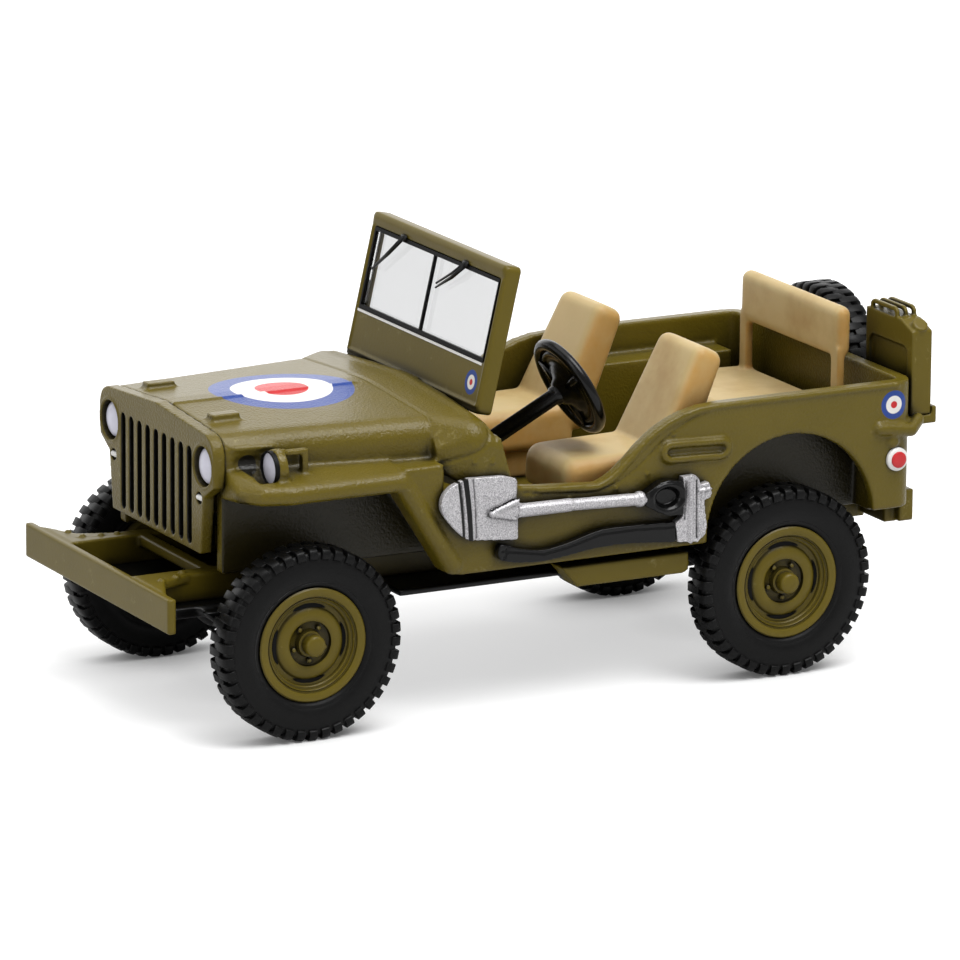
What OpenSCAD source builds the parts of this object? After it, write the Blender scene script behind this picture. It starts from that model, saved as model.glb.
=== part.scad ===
// Small die-cast toy of a light open four-wheel-drive army car, 1:64.
// Millimetres. X points forward, Y to the car's left, Z up, ground at z = 0.
// Lengths are laid out from the middle of the wheelbase and then shifted, so
// that the origin is under the middle of the whole toy.

/* [Stance] */
// Distance between the front and rear axle
wheelbase = 31.75; // [30:0.25:36]
// Outer radius of the tyres
tyre_r = 5.8; // [5.2:0.1:6.0]
// Width of a tyre
tyre_w = 2.3; // [2:0.1:2.4]
// How far a tyre stands out past the tub's side
tyre_out = 0.55; // [0.4:0.05:0.8]
// Radius of the wheel where the tyre grips it
rim_r = 3.3; // [3:0.1:3.6]
// Radius of the steel axle rods
axle_r = 0.5; // [0.4:0.05:0.6]
// Radial clearance of a rod in its bearing
axle_gap = 0.05; // [0.02:0.01:0.1]

/* [Body casting] */
// Distance from the centre line to the tub's side
tub_half_w = 10.8; // [10.6:0.1:11.2]
// Thickness of the cast walls
wall = 0.8; // [0.6:0.05:1.0]
// Distance from the rear axle back to the rear panel
rear_overhang = 8.975; // [8.5:0.025:10]
// Height of the tub's rim
rim_z = 17.28; // [16.8:0.1:18]
// Lowest point of the door opening
sill_z = 13.18; // [12.8:0.1:13.6]
// Height of the top of the floor
floor_z = 10; // [9.8:0.1:10.4]
// Height of the hood
hood_z = 18.4; // [18:0.1:19]
// How far a front fender stands out past the tub's side
fender_out = 0.25; // [0.1:0.05:0.4]

/* [Front] */
// Distance from the front axle to the front of the bumper
front_overhang = 8.725; // [8.5:0.025:10]
// How far the bumper's ends stop short of the tub's side
bumper_in = 0.8; // [0:0.1:2]
// Height of the bumper bar
bumper_h = 2.1; // [1.8:0.1:2.4]
// Number of slots in the grille
grille_slots = 9; // [7:1:9]
// Width of a grille slot
slot_w = 0.6; // [0.5:0.05:0.7]
// Radius of the headlamp lenses
headlamp_r = 1.15; // [1:0.05:1.2]
// Thickness of the bumper bar
bumper_t = 0.5; // [0.4:0.05:0.8]

/* [Windscreen] */
// Length of the windscreen frame up its slope
screen_h = 8.7; // [7:0.1:10]
// How far the windscreen frame stops short of the tub's side
screen_in = 2.2; // [1.8:0.1:2.6]
// Backward lean of the windscreen
screen_lean = 12.9; // [0:0.1:20]
// Thickness of the windscreen frame
screen_t = 1.0; // [0.8:0.05:1.1]

/* [Inside] */
// Width of a front seat
seat_w = 5.9; // [5:0.1:6.2]
// Gap between a front seat and the tub's inner side
seat_gap = 0.85; // [0.5:0.05:1.5]
// Radius of the steering wheel's ring
steer_r = 2.9; // [2.6:0.05:3.1]

/* [Rear load] */
// Thickness of the spare tyre
spare_w = 2.3; // [2:0.1:2.4]
// Height of the petrol can without its handles
can_h = 5.75; // [5:0.05:6]

/* [Hidden] */
$fn = 48;
hull_fn = 20;
eps = 0.01;
olive = "#6f6428";
black = "#1f1f20";
tan_plastic = "#d2b784";
silver = "#b9b9bd";

axle_z = tyre_r;
axle_x = wheelbase / 2;
tub_back = axle_x + rear_overhang;
bumper_front = axle_x + front_overhang;
spare_gap = 0.35;
rear_end = tub_back + spare_gap + spare_w;
mid_x = (rear_end - bumper_front) / 2;
track_half = tub_half_w + tyre_out;
tyre_in = track_half - tyre_w;

inner_w = tub_half_w - wall;
floor_t = 0.7;
rocker_z = 8.75;
tail_z = 9.4;
cowl_back = axle_x - 12.475;
cowl_front = axle_x - 8.775;
dash_z = 13.6;
grille_back = axle_x + 4.025;
grille_front = grille_back + 0.75;
grille_half_w = tub_half_w - 3.0;
hood_front = grille_back;
hood_w_front = grille_half_w - 0.2;
hood_w_back = tub_half_w - 1.8;
hood_round = 1.3;
// How much lower the hood is at its sides than along its middle
camber = 0.45;
engine_w = grille_half_w - 0.8;
engine_low = 9.5;
engine_top = 15;
fender_z = 14.15;
fender_round = 0.6;
fender_back = axle_x - 6.075;
fender_foot = [axle_x - 9.775, 8.75];
fender_half_w = tub_half_w + fender_out;
arch_r = tyre_r - 0.05;
arch_x = -axle_x - 0.45;
arch_z = 9.05;
box_in = tyre_in - 1.2;
box_top = arch_z + arch_r + 0.6;
box_len = arch_r + 0.65;

screw_hole_r = 0.8;
screw_depth = 1.7;
screw_x = 9.0;
base_low = 6.9;
base_top = 7.6;
base_end = axle_x + 6.725;
base_half_w = 6.4;
rail_in = 4.2;
rail_out = 5.4;
rail_low = 7.6;
rail_top = floor_z - floor_t;
bumper_low = 7.14;
bumper_half_w = tub_half_w - bumper_in;

screen_half_w = tub_half_w - screen_in;
screen_foot = [cowl_back + 0.4, 18.0];
// How far the screen's foot reaches down into the cowl
foot_drop = 0.3;
glass_low = 2.75;
glass_high = screen_h - 0.9;
glass_half_w = screen_half_w - 0.55;
glass_gap = 0.03;

headlamp_pos = [6.36, 15.95];
marker_pos = [5.85, 13.95];
lamp_pos = [axle_x + 1.625, engine_w + 2.0, 16.1];
lamp_r = 0.95;
spare_y = -2.9;
spare_z = 14.55;
can_t = 1.45;
can_x = tub_back + 0.45 + can_t / 2;
rack_z = 14.65;

seat_y = inner_w - seat_gap - seat_w / 2;
// The front seats are laid out with x = 0 here
seat_x = cowl_back - 3.4;
hub_y = 5.9;
hub_pos = [seat_x - 3.79, hub_y, 18.05];
column_lean = 27;
column_len = 7.7;

bead_t = 0.12;
tool_y = tub_half_w + bead_t;

// ---- helpers -------------------------------------------------------------

// Moves children laid out from mid-wheelbase to the toy's own origin.
module laid_out() translate([mid_x, 0, 0]) children();

// Children and their mirror image on the right side.
module both_sides() {
    children();
    mirror([0, 1, 0]) children();
}

// Extrudes an outline drawn in X and Z sideways, from y = from to y = to.
module side_slab(from, to)
    translate([0, to, 0]) rotate([90, 0, 0]) linear_extrude(to - from) children();

// Extrudes an outline drawn in Y and Z forward, from x = from to x = to.
module front_slab(from, to)
    translate([from, 0, 0]) rotate([90, 0, 90]) linear_extrude(to - from) children();

// A box by its two corners.
module block(low, high) translate(low) cube(high - low);

// A round bar along X, Y or Z.
module bar_x(r, from, to) translate([from, 0, 0]) rotate([0, 90, 0]) cylinder(r = r, h = to - from);
module bar_y(r, from, to) translate([0, from, 0]) rotate([-90, 0, 0]) cylinder(r = r, h = to - from);

// A ball for the corner of a hull.
module ball(p, r) translate(p) sphere(r = r, $fn = hull_fn);

// Points along a cubic curve from a to d, without the last one.
function curve(a, b, c, d, n = 12) = [for (i = [0 : n - 1])
    let (t = i / n, s = 1 - t)
    s * s * s * a + 3 * s * s * t * b + 3 * s * t * t * c + t * t * t * d];

// Points along an arc, angles in degrees.
function arc(centre, r, from, to, n = 12) = [for (i = [0 : n])
    let (a = from + (to - from) * i / n) centre + r * [cos(a), sin(a)]];

// A rectangle with round corners, by its half sizes.
module round_rect(hx, hy, r) {
    square([2 * hx, 2 * (hy - r)], center = true);
    square([2 * (hx - r), 2 * hy], center = true);
    for (sx = [-1, 1], sy = [-1, 1]) translate([sx * (hx - r), sy * (hy - r)]) circle(r = r);
}

// A slot with round ends, lying along the first axis.
module slot_shape(half_len, r) {
    square([2 * (half_len - r), 2 * r], center = true);
    for (s = [-1, 1]) translate([s * (half_len - r), 0]) circle(r = r, $fn = 24);
}

// ---- body casting --------------------------------------------------------

// Side view of the tub: rim, sweeping door opening and wheel arch.
module tub_outline() difference() {
    polygon(concat(
        [[-tub_back - 1, tail_z], [-tub_back - 1, rim_z]],
        curve([seat_x - 11.2, rim_z], [seat_x - 5.6, rim_z - 0.1], [seat_x - 5.3, sill_z],
            [seat_x - 2.4, sill_z]),
        [[seat_x + 0.9, sill_z + 0.36]],
        arc([seat_x + 1.6, sill_z + 1.55], 1.15, -68, -8, 6),
        [[cowl_back, rim_z - 0.4], [cowl_back, dash_z], [cowl_back + 2, dash_z], [cowl_back + 2, rocker_z],
         [arch_x + arch_r - 0.15, rocker_z], [arch_x + arch_r - 0.55, tail_z]]));
    translate([arch_x, arch_z]) circle(r = arch_r, $fn = 72);
    translate([arch_x - arch_r, arch_z - 3]) square([2 * arch_r, 3]);
}

module tub_wall() intersection() {
    translate([0, 0, rocker_z]) linear_extrude(rim_z - rocker_z) difference() {
        round_rect(tub_back, tub_half_w, 1.2);
        round_rect(tub_back - wall, inner_w, 0.5);
    }
    side_slab(-tub_half_w - 1, tub_half_w + 1) tub_outline();
}

// A round bar lying forward, for the edges of a hull.
module edge(p, r) translate(p) rotate([0, 90, 0]) cylinder(r = r, h = 0.4, $fn = hull_fn);

// Outer form of the hood, slightly cambered and tapering in towards the grille.
module hood_form() hull() both_sides() {
    edge([hood_front - 0.4, hood_w_front - hood_round, hood_z - camber - hood_round], hood_round);
    edge([cowl_front, hood_w_back - hood_round, hood_z - camber - hood_round], hood_round);
    block([cowl_front, 0, engine_top], [hood_front, 0.6, hood_z]);
    block([hood_front - 0.4, 0, engine_top], [hood_front, hood_w_front, engine_top + 1]);
    block([cowl_front, 0, engine_top], [cowl_front + 0.4, hood_w_back, engine_top + 1]);
}

module cowl_form() hull() both_sides() {
    ball([cowl_back + 1.4, tub_half_w - 1.4, hood_z - camber - 1.5], 1.4);
    edge([cowl_front - 0.4, hood_w_back - hood_round, hood_z - camber - hood_round], hood_round);
    block([cowl_back, 0, dash_z], [cowl_back + 1.5, tub_half_w, 16.2]);
    block([cowl_front - 0.4, 0, engine_top], [cowl_front, tub_half_w - 1.1, 16.2]);
    block([cowl_back, 0, dash_z], [cowl_front, 0.6, hood_z]);
}

// Side panel under the cowl, up to the line of the fender's foot.
module cowl_side() side_slab(inner_w, tub_half_w) polygon([[cowl_back + 2, rocker_z],
    [fender_foot[0], fender_foot[1]], [fender_back, 15.4], [cowl_front, 15.6],
    [cowl_front, dash_z], [cowl_back + 2, dash_z]]);

// Ledge between the hood's side and the side panel.
module cowl_ledge() block([cowl_front - eps, hood_w_back - 0.4, 14.4],
    [fender_back - 0.2, tub_half_w, 15.55]);

// Fender: a slab with a round edge, and the strip that sweeps down to the sill.
module fender_form() {
    z = fender_z + fender_round;
    y = fender_half_w - fender_round;
    hull() {
        ball([fender_back, y, z], fender_round);
        ball([axle_x + 1.125, y, z], fender_round);
        ball([axle_x + 2.625, y - 0.5, z], fender_round);
        ball([axle_x + 3.425, y - 1.5, z], fender_round);
        block([fender_back, engine_w, fender_z], [hood_front - 0.05, engine_w + 0.4, 15.95]);
    }
    hull() {
        ball([fender_back, y, z], fender_round);
        ball([fender_foot[0] + 0.3, y, fender_foot[1] + fender_round], fender_round);
        translate([fender_back, tub_half_w - 1.8, z]) rotate([-90, 0, 0])
            cylinder(r = fender_round, h = 1, $fn = hull_fn);
        translate([fender_foot[0] + 0.3, tub_half_w - 1.8, fender_foot[1] + fender_round])
            rotate([-90, 0, 0]) cylinder(r = fender_round, h = 1, $fn = hull_fn);
    }
}

module fender() difference() {
    fender_form();
    hood_form();
    cowl_side();
    cowl_ledge();
    toe_board();
}

// Wall between the engine and the wheel.
module engine_side() side_slab(engine_w - wall, engine_w) polygon([[fender_foot[0], rail_top],
    [hood_front - 0.2, engine_low], [hood_front - 0.2, engine_top], [fender_back - 0.1, engine_top]]);

// Sloping board in front of the feet.
module toe_board() side_slab(-inner_w, inner_w) polygon([[fender_foot[0] - 1.6, rail_top],
    [fender_foot[0] - 0.2, rail_top], [fender_back - 0.3, engine_top - 0.6],
    [fender_back - 0.3, engine_top], [cowl_front + eps, engine_top], [cowl_front + eps, dash_z]]);

module wheel_box() difference() {
    block([arch_x - box_len, box_in, tail_z], [arch_x + box_len, inner_w + eps, box_top]);
    block([arch_x - arch_r, box_in + 0.6, 0], [arch_x + arch_r, tub_half_w + 1, box_top - 0.6]);
}

// Raised rim that follows the top edge of the tub.
module rim_bead() side_slab(tub_half_w - eps, tub_half_w + bead_t) difference() {
    intersection() {
        tub_outline();
        translate([-tub_back + 1.2, sill_z - 0.5]) square([tub_back - 0.2, 6]);
    }
    translate([0, -0.4]) tub_outline();
}

module side_handle() translate([seat_x - 9.65, 0, 14.6]) side_slab(tub_half_w - eps, tub_half_w + 0.3)
    rotate(2) difference() {
        slot_shape(2.4, 0.65);
        slot_shape(2.0, 0.27);
    }

module corner_handle() {
    hull() {
        ball([-tub_back + 2.5, tub_half_w, 14.5], 0.42);
        ball([-tub_back + 0.3, tub_half_w, 14.2], 0.42);
    }
    hull() {
        ball([-tub_back + 0.3, tub_half_w, 14.2], 0.42);
        ball([-tub_back - 0.55, tub_half_w - 0.65, 14.6], 0.42);
    }
}

module hood_block() block([axle_x + 1.605, 3.95, hood_z - 0.7], [axle_x + 3.385, 4.85, hood_z + 0.1]);

// Ring that holds the small fender lamp, with its guard behind.
module lamp_guard() {
    translate([0, lamp_pos[1], lamp_pos[2]]) bar_x(lamp_r + 0.15, lamp_pos[0] - 0.65, lamp_pos[0]);
    translate([lamp_pos[0], lamp_pos[1], 0]) {
        block([-2.3, -0.25, fender_z + 0.6], [-1.9, 0.25, 17.1]);
        block([-2.3, -0.25, 16.75], [-0.4, 0.25, 17.1]);
        block([-0.6, -0.3, fender_z + 0.6], [-0.1, 0.3, 15.4]);
    }
}

module tub() color(olive) laid_out() {
    difference() {
        union() {
            tub_wall();
            block([-tub_back + 0.3, -inner_w - 0.05, rail_top],
                [fender_foot[0] - 1.6, inner_w + 0.05, floor_z]);
            both_sides() wheel_box();
        }
        // room for the rear wheels through the floor
        both_sides() block([arch_x - arch_r, box_in + 0.6, 0],
            [arch_x + arch_r, inner_w + 0.05, box_top - 0.6]);
    }
    both_sides() {
        rim_bead();
        side_handle();
        corner_handle();
    }
}

module cowl() color(olive) laid_out() difference() {
    union() {
        cowl_form();
        both_sides() {
            cowl_side();
            cowl_ledge();
        }
    }
    hood_form();
    toe_board();
    on_screen() block([-3, -screen_half_w - 0.1, -foot_drop], [0.1, screen_half_w + 0.1, 3]);
}

module hood() color(olive) laid_out() {
    difference() {
        hood_form();
        block([cowl_front + 1, -engine_w + 0.4, 10],
            [hood_front + 1, engine_w - 0.4, hood_z - camber - wall]);
    }
    both_sides() hood_block();
}

module engine_bay() color(olive) laid_out() {
    difference() {
        toe_board();
        both_sides() cowl_side();
    }
    both_sides() engine_side();
}

module front_left_fender() color(olive) laid_out() {
    difference() {
        fender();
        // pocket that the lamp's lens stands in
        translate([0, lamp_pos[1], lamp_pos[2]]) bar_x(lamp_r + 0.03, lamp_pos[0], lamp_pos[0] + 1);
    }
    lamp_guard();
}

module front_right_fender() color(olive) laid_out() mirror([0, 1, 0]) fender();

// ---- nose ----------------------------------------------------------------

module grille_outline() {
    w = grille_half_w;
    top = hood_z - camber - hood_round;
    polygon(concat(
        [[-w + 1.8, 10.6], [w - 1.8, 10.6], [w - 1.35, 14.1], [w - 0.05, 14.9], [w, top - 0.1]],
        arc([w - hood_round, top], hood_round, 0, 84, 8),
        [[0, hood_z + 0.02]],
        arc([-w + hood_round, top], hood_round, 96, 180, 8),
        [[-w, top - 0.1], [-w + 0.05, 14.9], [-w + 1.35, 14.1]]));
}

module grille() color(olive) laid_out() difference() {
    front_slab(grille_back, grille_front) difference() {
        grille_outline();
        for (i = [0 : grille_slots - 1]) translate([(i - (grille_slots - 1) / 2) * 1.1275, 13.85])
            rotate(90) slot_shape(2.92, slot_w / 2);
    }
    both_sides() {
        translate([0, headlamp_pos[0], headlamp_pos[1]])
            bar_x(headlamp_r + 0.03, grille_back + 0.1, grille_front + 1);
        translate([0, marker_pos[0], marker_pos[1]]) bar_x(0.36, grille_back + 0.3, grille_front + 1);
    }
}

module radiator() color(black) laid_out()
    block([grille_back - 0.75, -4.85, 10.7], [grille_back - 0.05, 4.85, 16.95]);

// A domed lens that faces forward.
module lens(r, depth, dome) {
    ball_r = (r * r + dome * dome) / (2 * dome);
    half = asin(r / ball_r);
    rotate([0, 90, 0]) rotate_extrude() polygon(concat([[0, 0], [r, 0]],
        [for (p = arc([0, depth + dome - ball_r], ball_r, 90 - half, 90, 8)) p]));
}

module headlamps() color(silver) laid_out() both_sides()
    translate([grille_back + 0.1, headlamp_pos[0], headlamp_pos[1]]) lens(headlamp_r, 0.15, 0.25);

module marker_lamps() color("white") laid_out() both_sides()
    translate([grille_back + 0.3, marker_pos[0], marker_pos[1]]) lens(0.33, 0.3, 0.15);

module blackout_lamp() color(silver) laid_out()
    translate(lamp_pos) lens(lamp_r, 0.08, 0.15);

module tail_lamps() color("#c52a28") laid_out() both_sides()
    translate([-tub_back + 1.3, tub_half_w, 12.5]) rotate([0, 0, 90]) lens(0.72, 0.25, 0.15);

// ---- frame and base ------------------------------------------------------

module gusset() linear_extrude(0.5) polygon([[bumper_front - bumper_t, rail_in],
    [bumper_front - bumper_t, bumper_half_w - 1.4], [bumper_front - 1.6, 6.2],
    [grille_front + 0.35, rail_out], [grille_back + 0.3, rail_in]]);

// Step under the door opening, kept clear of the rear tyre.
module step_box() {
    back = -axle_x + tyre_r + 0.575;
    side_slab(tub_half_w - 2.1, tub_half_w - 0.3) polygon([[seat_x - 0.9, 8.3], [seat_x - 2.0, 7.0],
        [back + 0.3, 7.0], [back, 7.2], [back, 8.3]]);
}

module frame() color(olive) laid_out() {
    block([bumper_front - bumper_t, -bumper_half_w, bumper_low],
        [bumper_front, bumper_half_w, bumper_low + bumper_h]);
    both_sides() {
        block([-tub_back + 0.2, rail_in, rail_low], [bumper_front - bumper_t + eps, rail_out, rail_top]);
        translate([0, 0, rail_top - 0.5]) gusset();
        step_box();
        for (x = [-4.5, -8.3]) block([x, rail_out - eps, rail_low + 0.3],
            [x + 1.2, tub_half_w - 1.8, rail_low + 0.7]);
    }
    // small upright bumpers at the rear corners, the right one clear of the spare tyre
    difference() {
        both_sides() block([-tub_back - 1.1, 5.3, 8.0], [-tub_back - 0.1, 9.0, 9.95]);
        translate([0, spare_y, spare_z]) bar_x(tyre_r + 0.08, -rear_end, -tub_back - spare_gap + 0.08);
    }
    block([axle_x + 3.125, -rail_in - eps, 8.6], [axle_x + 3.925, rail_in + eps, rail_top]);
    block([-tub_back - 0.2, -rail_out - 3, 7.9], [-tub_back + 0.6, rail_out + 3, rail_top]);
    // pintle hook
    translate([-tub_back - 0.1, 0, 8.25]) {
        block([-0.9, -0.8, -0.7], [0.2, 0.8, 0.7]);
        translate([-1.5, 0.35, 0]) rotate([90, 0, 0]) difference() {
            cylinder(r = 0.85, h = 0.7);
            translate([0, 0, -1]) cylinder(r = 0.4, h = 3);
        }
    }
}

module leaf_spring() side_slab(5.7, 7.1) difference() {
    translate([0, axle_z + 6.4]) circle(r = 7.0, $fn = 72);
    translate([0, axle_z + 6.4]) circle(r = 6.3, $fn = 72);
    translate([-8, 7.35]) square([16, 20]);
}

module axle_housing() {
    translate([0, 0, axle_z]) {
        bar_y(1.0, -8.4, 8.4);
        translate([0, -1.2, 0]) sphere(r = 1.9);
    }
    both_sides() {
        leaf_spring();
        block([-1.0, 5.9, axle_z - 0.2], [1.0, 6.9, 7.4]);
    }
}

module base_plate() color(black) laid_out() difference() {
    union() {
        block([-base_end, -base_half_w, base_low], [base_end, base_half_w, base_top]);
        // the wide part stops short of both pairs of wheels
        block([-axle_x + tyre_r + 0.7, -tub_half_w + 2.3, base_low + 0.3],
            [axle_x - tyre_r - 1.2, tub_half_w - 2.3, base_top]);
        for (s = [-1, 1]) translate([s * axle_x, 0, 0]) axle_housing();
        for (s = [-1, 1]) translate([s * screw_x, 0, base_low]) cylinder(r = 1.9, h = 2.2);
        // gearbox, transfer case and propeller shafts in relief
        block([-2.2, -1.8, axle_z + 0.1], [5.5, 1.8, base_low + eps]);
        translate([0, -1.2, axle_z]) bar_x(0.45, -axle_x + 1.2, axle_x - 1.2);
    }
    for (s = [-1, 1]) {
        translate([s * axle_x, 0, axle_z]) bar_y(axle_r + axle_gap, -12, 12);
        translate([s * screw_x, 0, base_low - 3]) cylinder(r = screw_hole_r, h = 3 + screw_depth);
    }
}

module base_rivets() color(silver) laid_out() for (x = [base_end - 2, -base_end + 2])
    translate([x, 0, base_low - 0.25]) cylinder(r = 1.1, h = 0.25);

// ---- windscreen ----------------------------------------------------------

// Places children on the sloping windscreen: X forward, Y across, Z up the slope.
module on_screen() translate([screen_foot[0], 0, screen_foot[1]]) rotate([0, -screen_lean, 0]) children();

module windscreen_frame() color(olive) laid_out() on_screen() front_slab(-screen_t, 0) difference() {
    translate([0, (screen_h - foot_drop) / 2]) round_rect(screen_half_w, (screen_h + foot_drop) / 2, 0.35);
    translate([-glass_half_w, glass_low]) square([2 * glass_half_w, glass_high - glass_low]);
}

module windscreen_glass() color("#dfe8ea", 0.35) laid_out() on_screen()
    block([-0.6, -glass_half_w + glass_gap, glass_low + glass_gap],
        [-0.2, glass_half_w - glass_gap, glass_high - glass_gap]);

module wiper(y, turn, len) translate([0, y, glass_high - 0.05]) rotate([turn, 0, 0])
    block([-0.2, -0.12, -len], [0.02, 0.12, 0]);

module wipers() color(black) laid_out() on_screen() {
    wiper(-4.3, -52, 3.85);
    wiper(3.65, -59, 3.4);
}

// ---- seats ---------------------------------------------------------------

module front_seat() {
    hw = seat_w / 2;
    hull() both_sides() {
        ball([-2.9, hw - 1.0, 13.35], 1.0);
        ball([-2.6, hw - 0.6, 12.3], 0.6);
        ball([-8.6, hw - 0.6, 13.75], 0.6);
        ball([-8.6, hw - 0.6, 12.3], 0.6);
    }
    hull() both_sides() {
        ball([-8.4, hw - 0.6, 13.6], 0.6);
        ball([-9.5, hw - 0.6, 13.2], 0.6);
        ball([-11.4, hw - 1.0, 19.55], 0.65);
        ball([-12.0, hw - 1.0, 19.2], 0.7);
    }
    for (s = [-1, 1]) block([-8.6, s * (hw - 1) - 0.3, floor_z], [-3.2, s * (hw - 1) + 0.3, 12.6]);
}

// Side = 1 on the left, -1 on the right; the back is cut away round the wheel box.
module placed_seat(side) difference() {
    translate([seat_x, side * seat_y, 0]) front_seat();
    mirror([0, side > 0 ? 0 : 1, 0]) block([arch_x - box_len, box_in - 0.05, 0],
        [arch_x + box_len + 0.05, inner_w, box_top + 0.05]);
}

module driver_seat() color(tan_plastic) laid_out() placed_seat(1);
module passenger_seat() color(tan_plastic) laid_out() placed_seat(-1);

module rear_seat() color(tan_plastic) laid_out() {
    back = -tub_back + 2.2;
    front = back + 6.0;
    hull() both_sides() {
        ball([front, 6.33, 14.27], 0.6);
        ball([front - 0.1, 6.25, 12.7], 0.55);
        ball([back, 6.33, 14.1], 0.6);
        ball([back + 0.1, 6.25, 12.7], 0.55);
    }
    hull() both_sides() {
        ball([back - 0.02, 5.5, 20.4], 0.55);
        ball([back, 5.5, 18.3], 0.55);
    }
    both_sides() {
        block([back - 0.08, 5.12, 13.6], [back + 0.52, 6.02, 18.4]);
        block([back + 0.7, 5.27, floor_z], [front - 0.55, 5.97, 12.9]);
    }
}

// ---- steering ------------------------------------------------------------

module steering_wheel() color(black) laid_out() translate(hub_pos) rotate([0, 90 + column_lean, 0]) {
    rotate_extrude($fn = 72) translate([steer_r, 0]) circle(r = 0.35, $fn = 20);
    // dished web from the ring to the hub
    rotate_extrude($fn = 72) polygon([[0, 0.2], [1.0, 0.2], [steer_r, -0.2],
        [steer_r, 0.15], [1.1, 0.75], [0, 0.75]]);
    cylinder(r = 0.5, h = column_len);
}

// ---- tools on the left side ----------------------------------------------

module shovel() color(silver) laid_out() translate([seat_x, 0, 0]) {
    side_slab(tool_y, tool_y + 0.45) polygon([[7.5, 13.3], [7.0, 14.3], [5.85, 14.7], [3.5, 14.65],
        [2.6, 14.25], [2.5, 10.65], [5.5, 10.9], [6.2, 11.25], [7.05, 12.15], [7.48, 12.9]]);
    side_slab(tool_y, tool_y + 0.8) polygon([[4.6, 12.45], [2.8, 13.1], [2.0, 12.8],
        [-6.0, 12.65], [-6.0, 11.7], [0.5, 11.85], [2.0, 11.95], [2.7, 12.0]]);
}

module shovel_grip() color(black) laid_out() translate([seat_x, 0, 0]) side_slab(tool_y, tool_y + 0.85)
    polygon([[-6.0, 11.7], [-6.8, 11.2], [-7.5, 10.95], [-8.5, 10.95], [-8.5, 13.05], [-7.5, 13.15],
        [-6.9, 13.05], [-6.0, 12.6]]);

module axe_head() color(silver) laid_out() translate([seat_x, 0, 0]) side_slab(tool_y, tool_y + 0.7)
    polygon([[-8.1, 9.2], [-8.0, 10.5], [-8.52, 10.7], [-8.52, 13.2], [-9.4, 13.2], [-9.7, 12.65],
        [-10.3, 12.65], [-10.5, 12.0], [-10.4, 11.7], [-10.0, 11.5], [-10.2, 9.9], [-10.1, 9.4],
        [-9.5, 9.05]]);

module axe_handle() color(black) laid_out() translate([seat_x, 0, 0]) side_slab(tool_y, tool_y + 0.6)
    polygon(concat(
        [[3.9, 9.9], [3.7, 10.4]],
        curve([3.0, 10.3], [1.0, 9.7], [-0.6, 9.9], [-3.0, 10.62]),
        [[-8.0, 10.5], [-8.08, 9.25]],
        curve([-4.8, 9.52], [-1.5, 9.6], [1.0, 8.7], [3.4, 9.45])));

// ---- rear load -----------------------------------------------------------

// Fuel can standing in its rack, both wide faces pressed in between raised edges.
module petrol_can() color(olive) laid_out() translate([-can_x, 6.75, rack_z]) {
    front_slab(-can_t / 2 + 0.25, can_t / 2 - 0.25) can_outline();
    for (s = [-1, 1]) front_slab(s * (can_t / 2 - 0.25) - 0.25, s * (can_t / 2 - 0.25) + 0.25) difference() {
        can_outline();
        translate([-0.1, can_h / 2 - 0.5]) round_rect(2.25, can_h / 2 - 1.1, 0.5);
    }
    for (x = [-can_t / 2 + 0.15, 0, can_t / 2 - 0.15]) translate([x, 0, 0]) front_slab(-0.13, 0.13)
        translate([-0.7, can_h + 0.15]) difference() {
            slot_shape(1.6, 0.45);
            slot_shape(1.3, 0.18);
            translate([-2, -1.2]) square([4, 1]);
        }
    translate([0, 2.0, can_h - 0.75]) rotate([-38, 0, 0]) cylinder(r = 0.5, h = 0.8);
}

module can_outline() polygon([[-2.75, 0], [2.75, 0], [2.75, can_h - 0.55], [1.4, can_h], [-2.75, can_h]]);

module can_rack() color(olive) laid_out() {
    back = -can_x - can_t / 2 - 0.35;
    block([back, 3.8, rack_z - 0.55], [-tub_back, 9.6, rack_z]);
    block([back, 3.8, rack_z - eps], [back + 0.35, 9.6, rack_z + 0.5]);
    for (y = [5.0, 7.8]) block([-can_x + can_t / 2, y, rack_z - eps], [-tub_back, y + 0.7, 17.0]);
}

// Cross-section of a tyre: flat tread, bulging sidewalls.
module tyre_shape(w) polygon(concat([[rim_r, 0.35], [rim_r + 0.5, 0.12]],
    curve([rim_r + 0.9, 0], [rim_r + 1.4, 0], [tyre_r - 0.6, 0], [tyre_r - 0.35, 0.1], 4),
    [[tyre_r, 0.4], [tyre_r, w - 0.4]],
    curve([tyre_r - 0.35, w - 0.1], [tyre_r - 0.6, w], [rim_r + 1.4, w], [rim_r + 0.9, w], 4),
    [[rim_r + 0.5, w - 0.12], [rim_r, w - 0.35]]));

module tyre(w) rotate_extrude($fn = 96) tyre_shape(w);

// Pressed wheel, outer face up, its axle hole blind behind the hub cap.
module wheel(w) difference() {
    rotate_extrude($fn = 72) polygon([[0, 0.3], [rim_r, 0.3], [rim_r, w - 0.3], [rim_r + 0.12, w - 0.3],
        [rim_r + 0.12, w - 0.15], [rim_r - 0.15, w - 0.1], [rim_r - 0.3, w - 0.5], [rim_r - 0.65, w - 0.55],
        [rim_r - 0.85, w - 0.75], [2.0, w - 0.65], [1.35, w - 0.45], [1.3, w - 0.75], [0.9, w - 0.75],
        [0.85, w + 0.1], [0.6, w + 0.35], [0, w + 0.45]]);
    translate([0, 0, -1]) cylinder(r = axle_r, h = 1 + w - 0.6);
}

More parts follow.
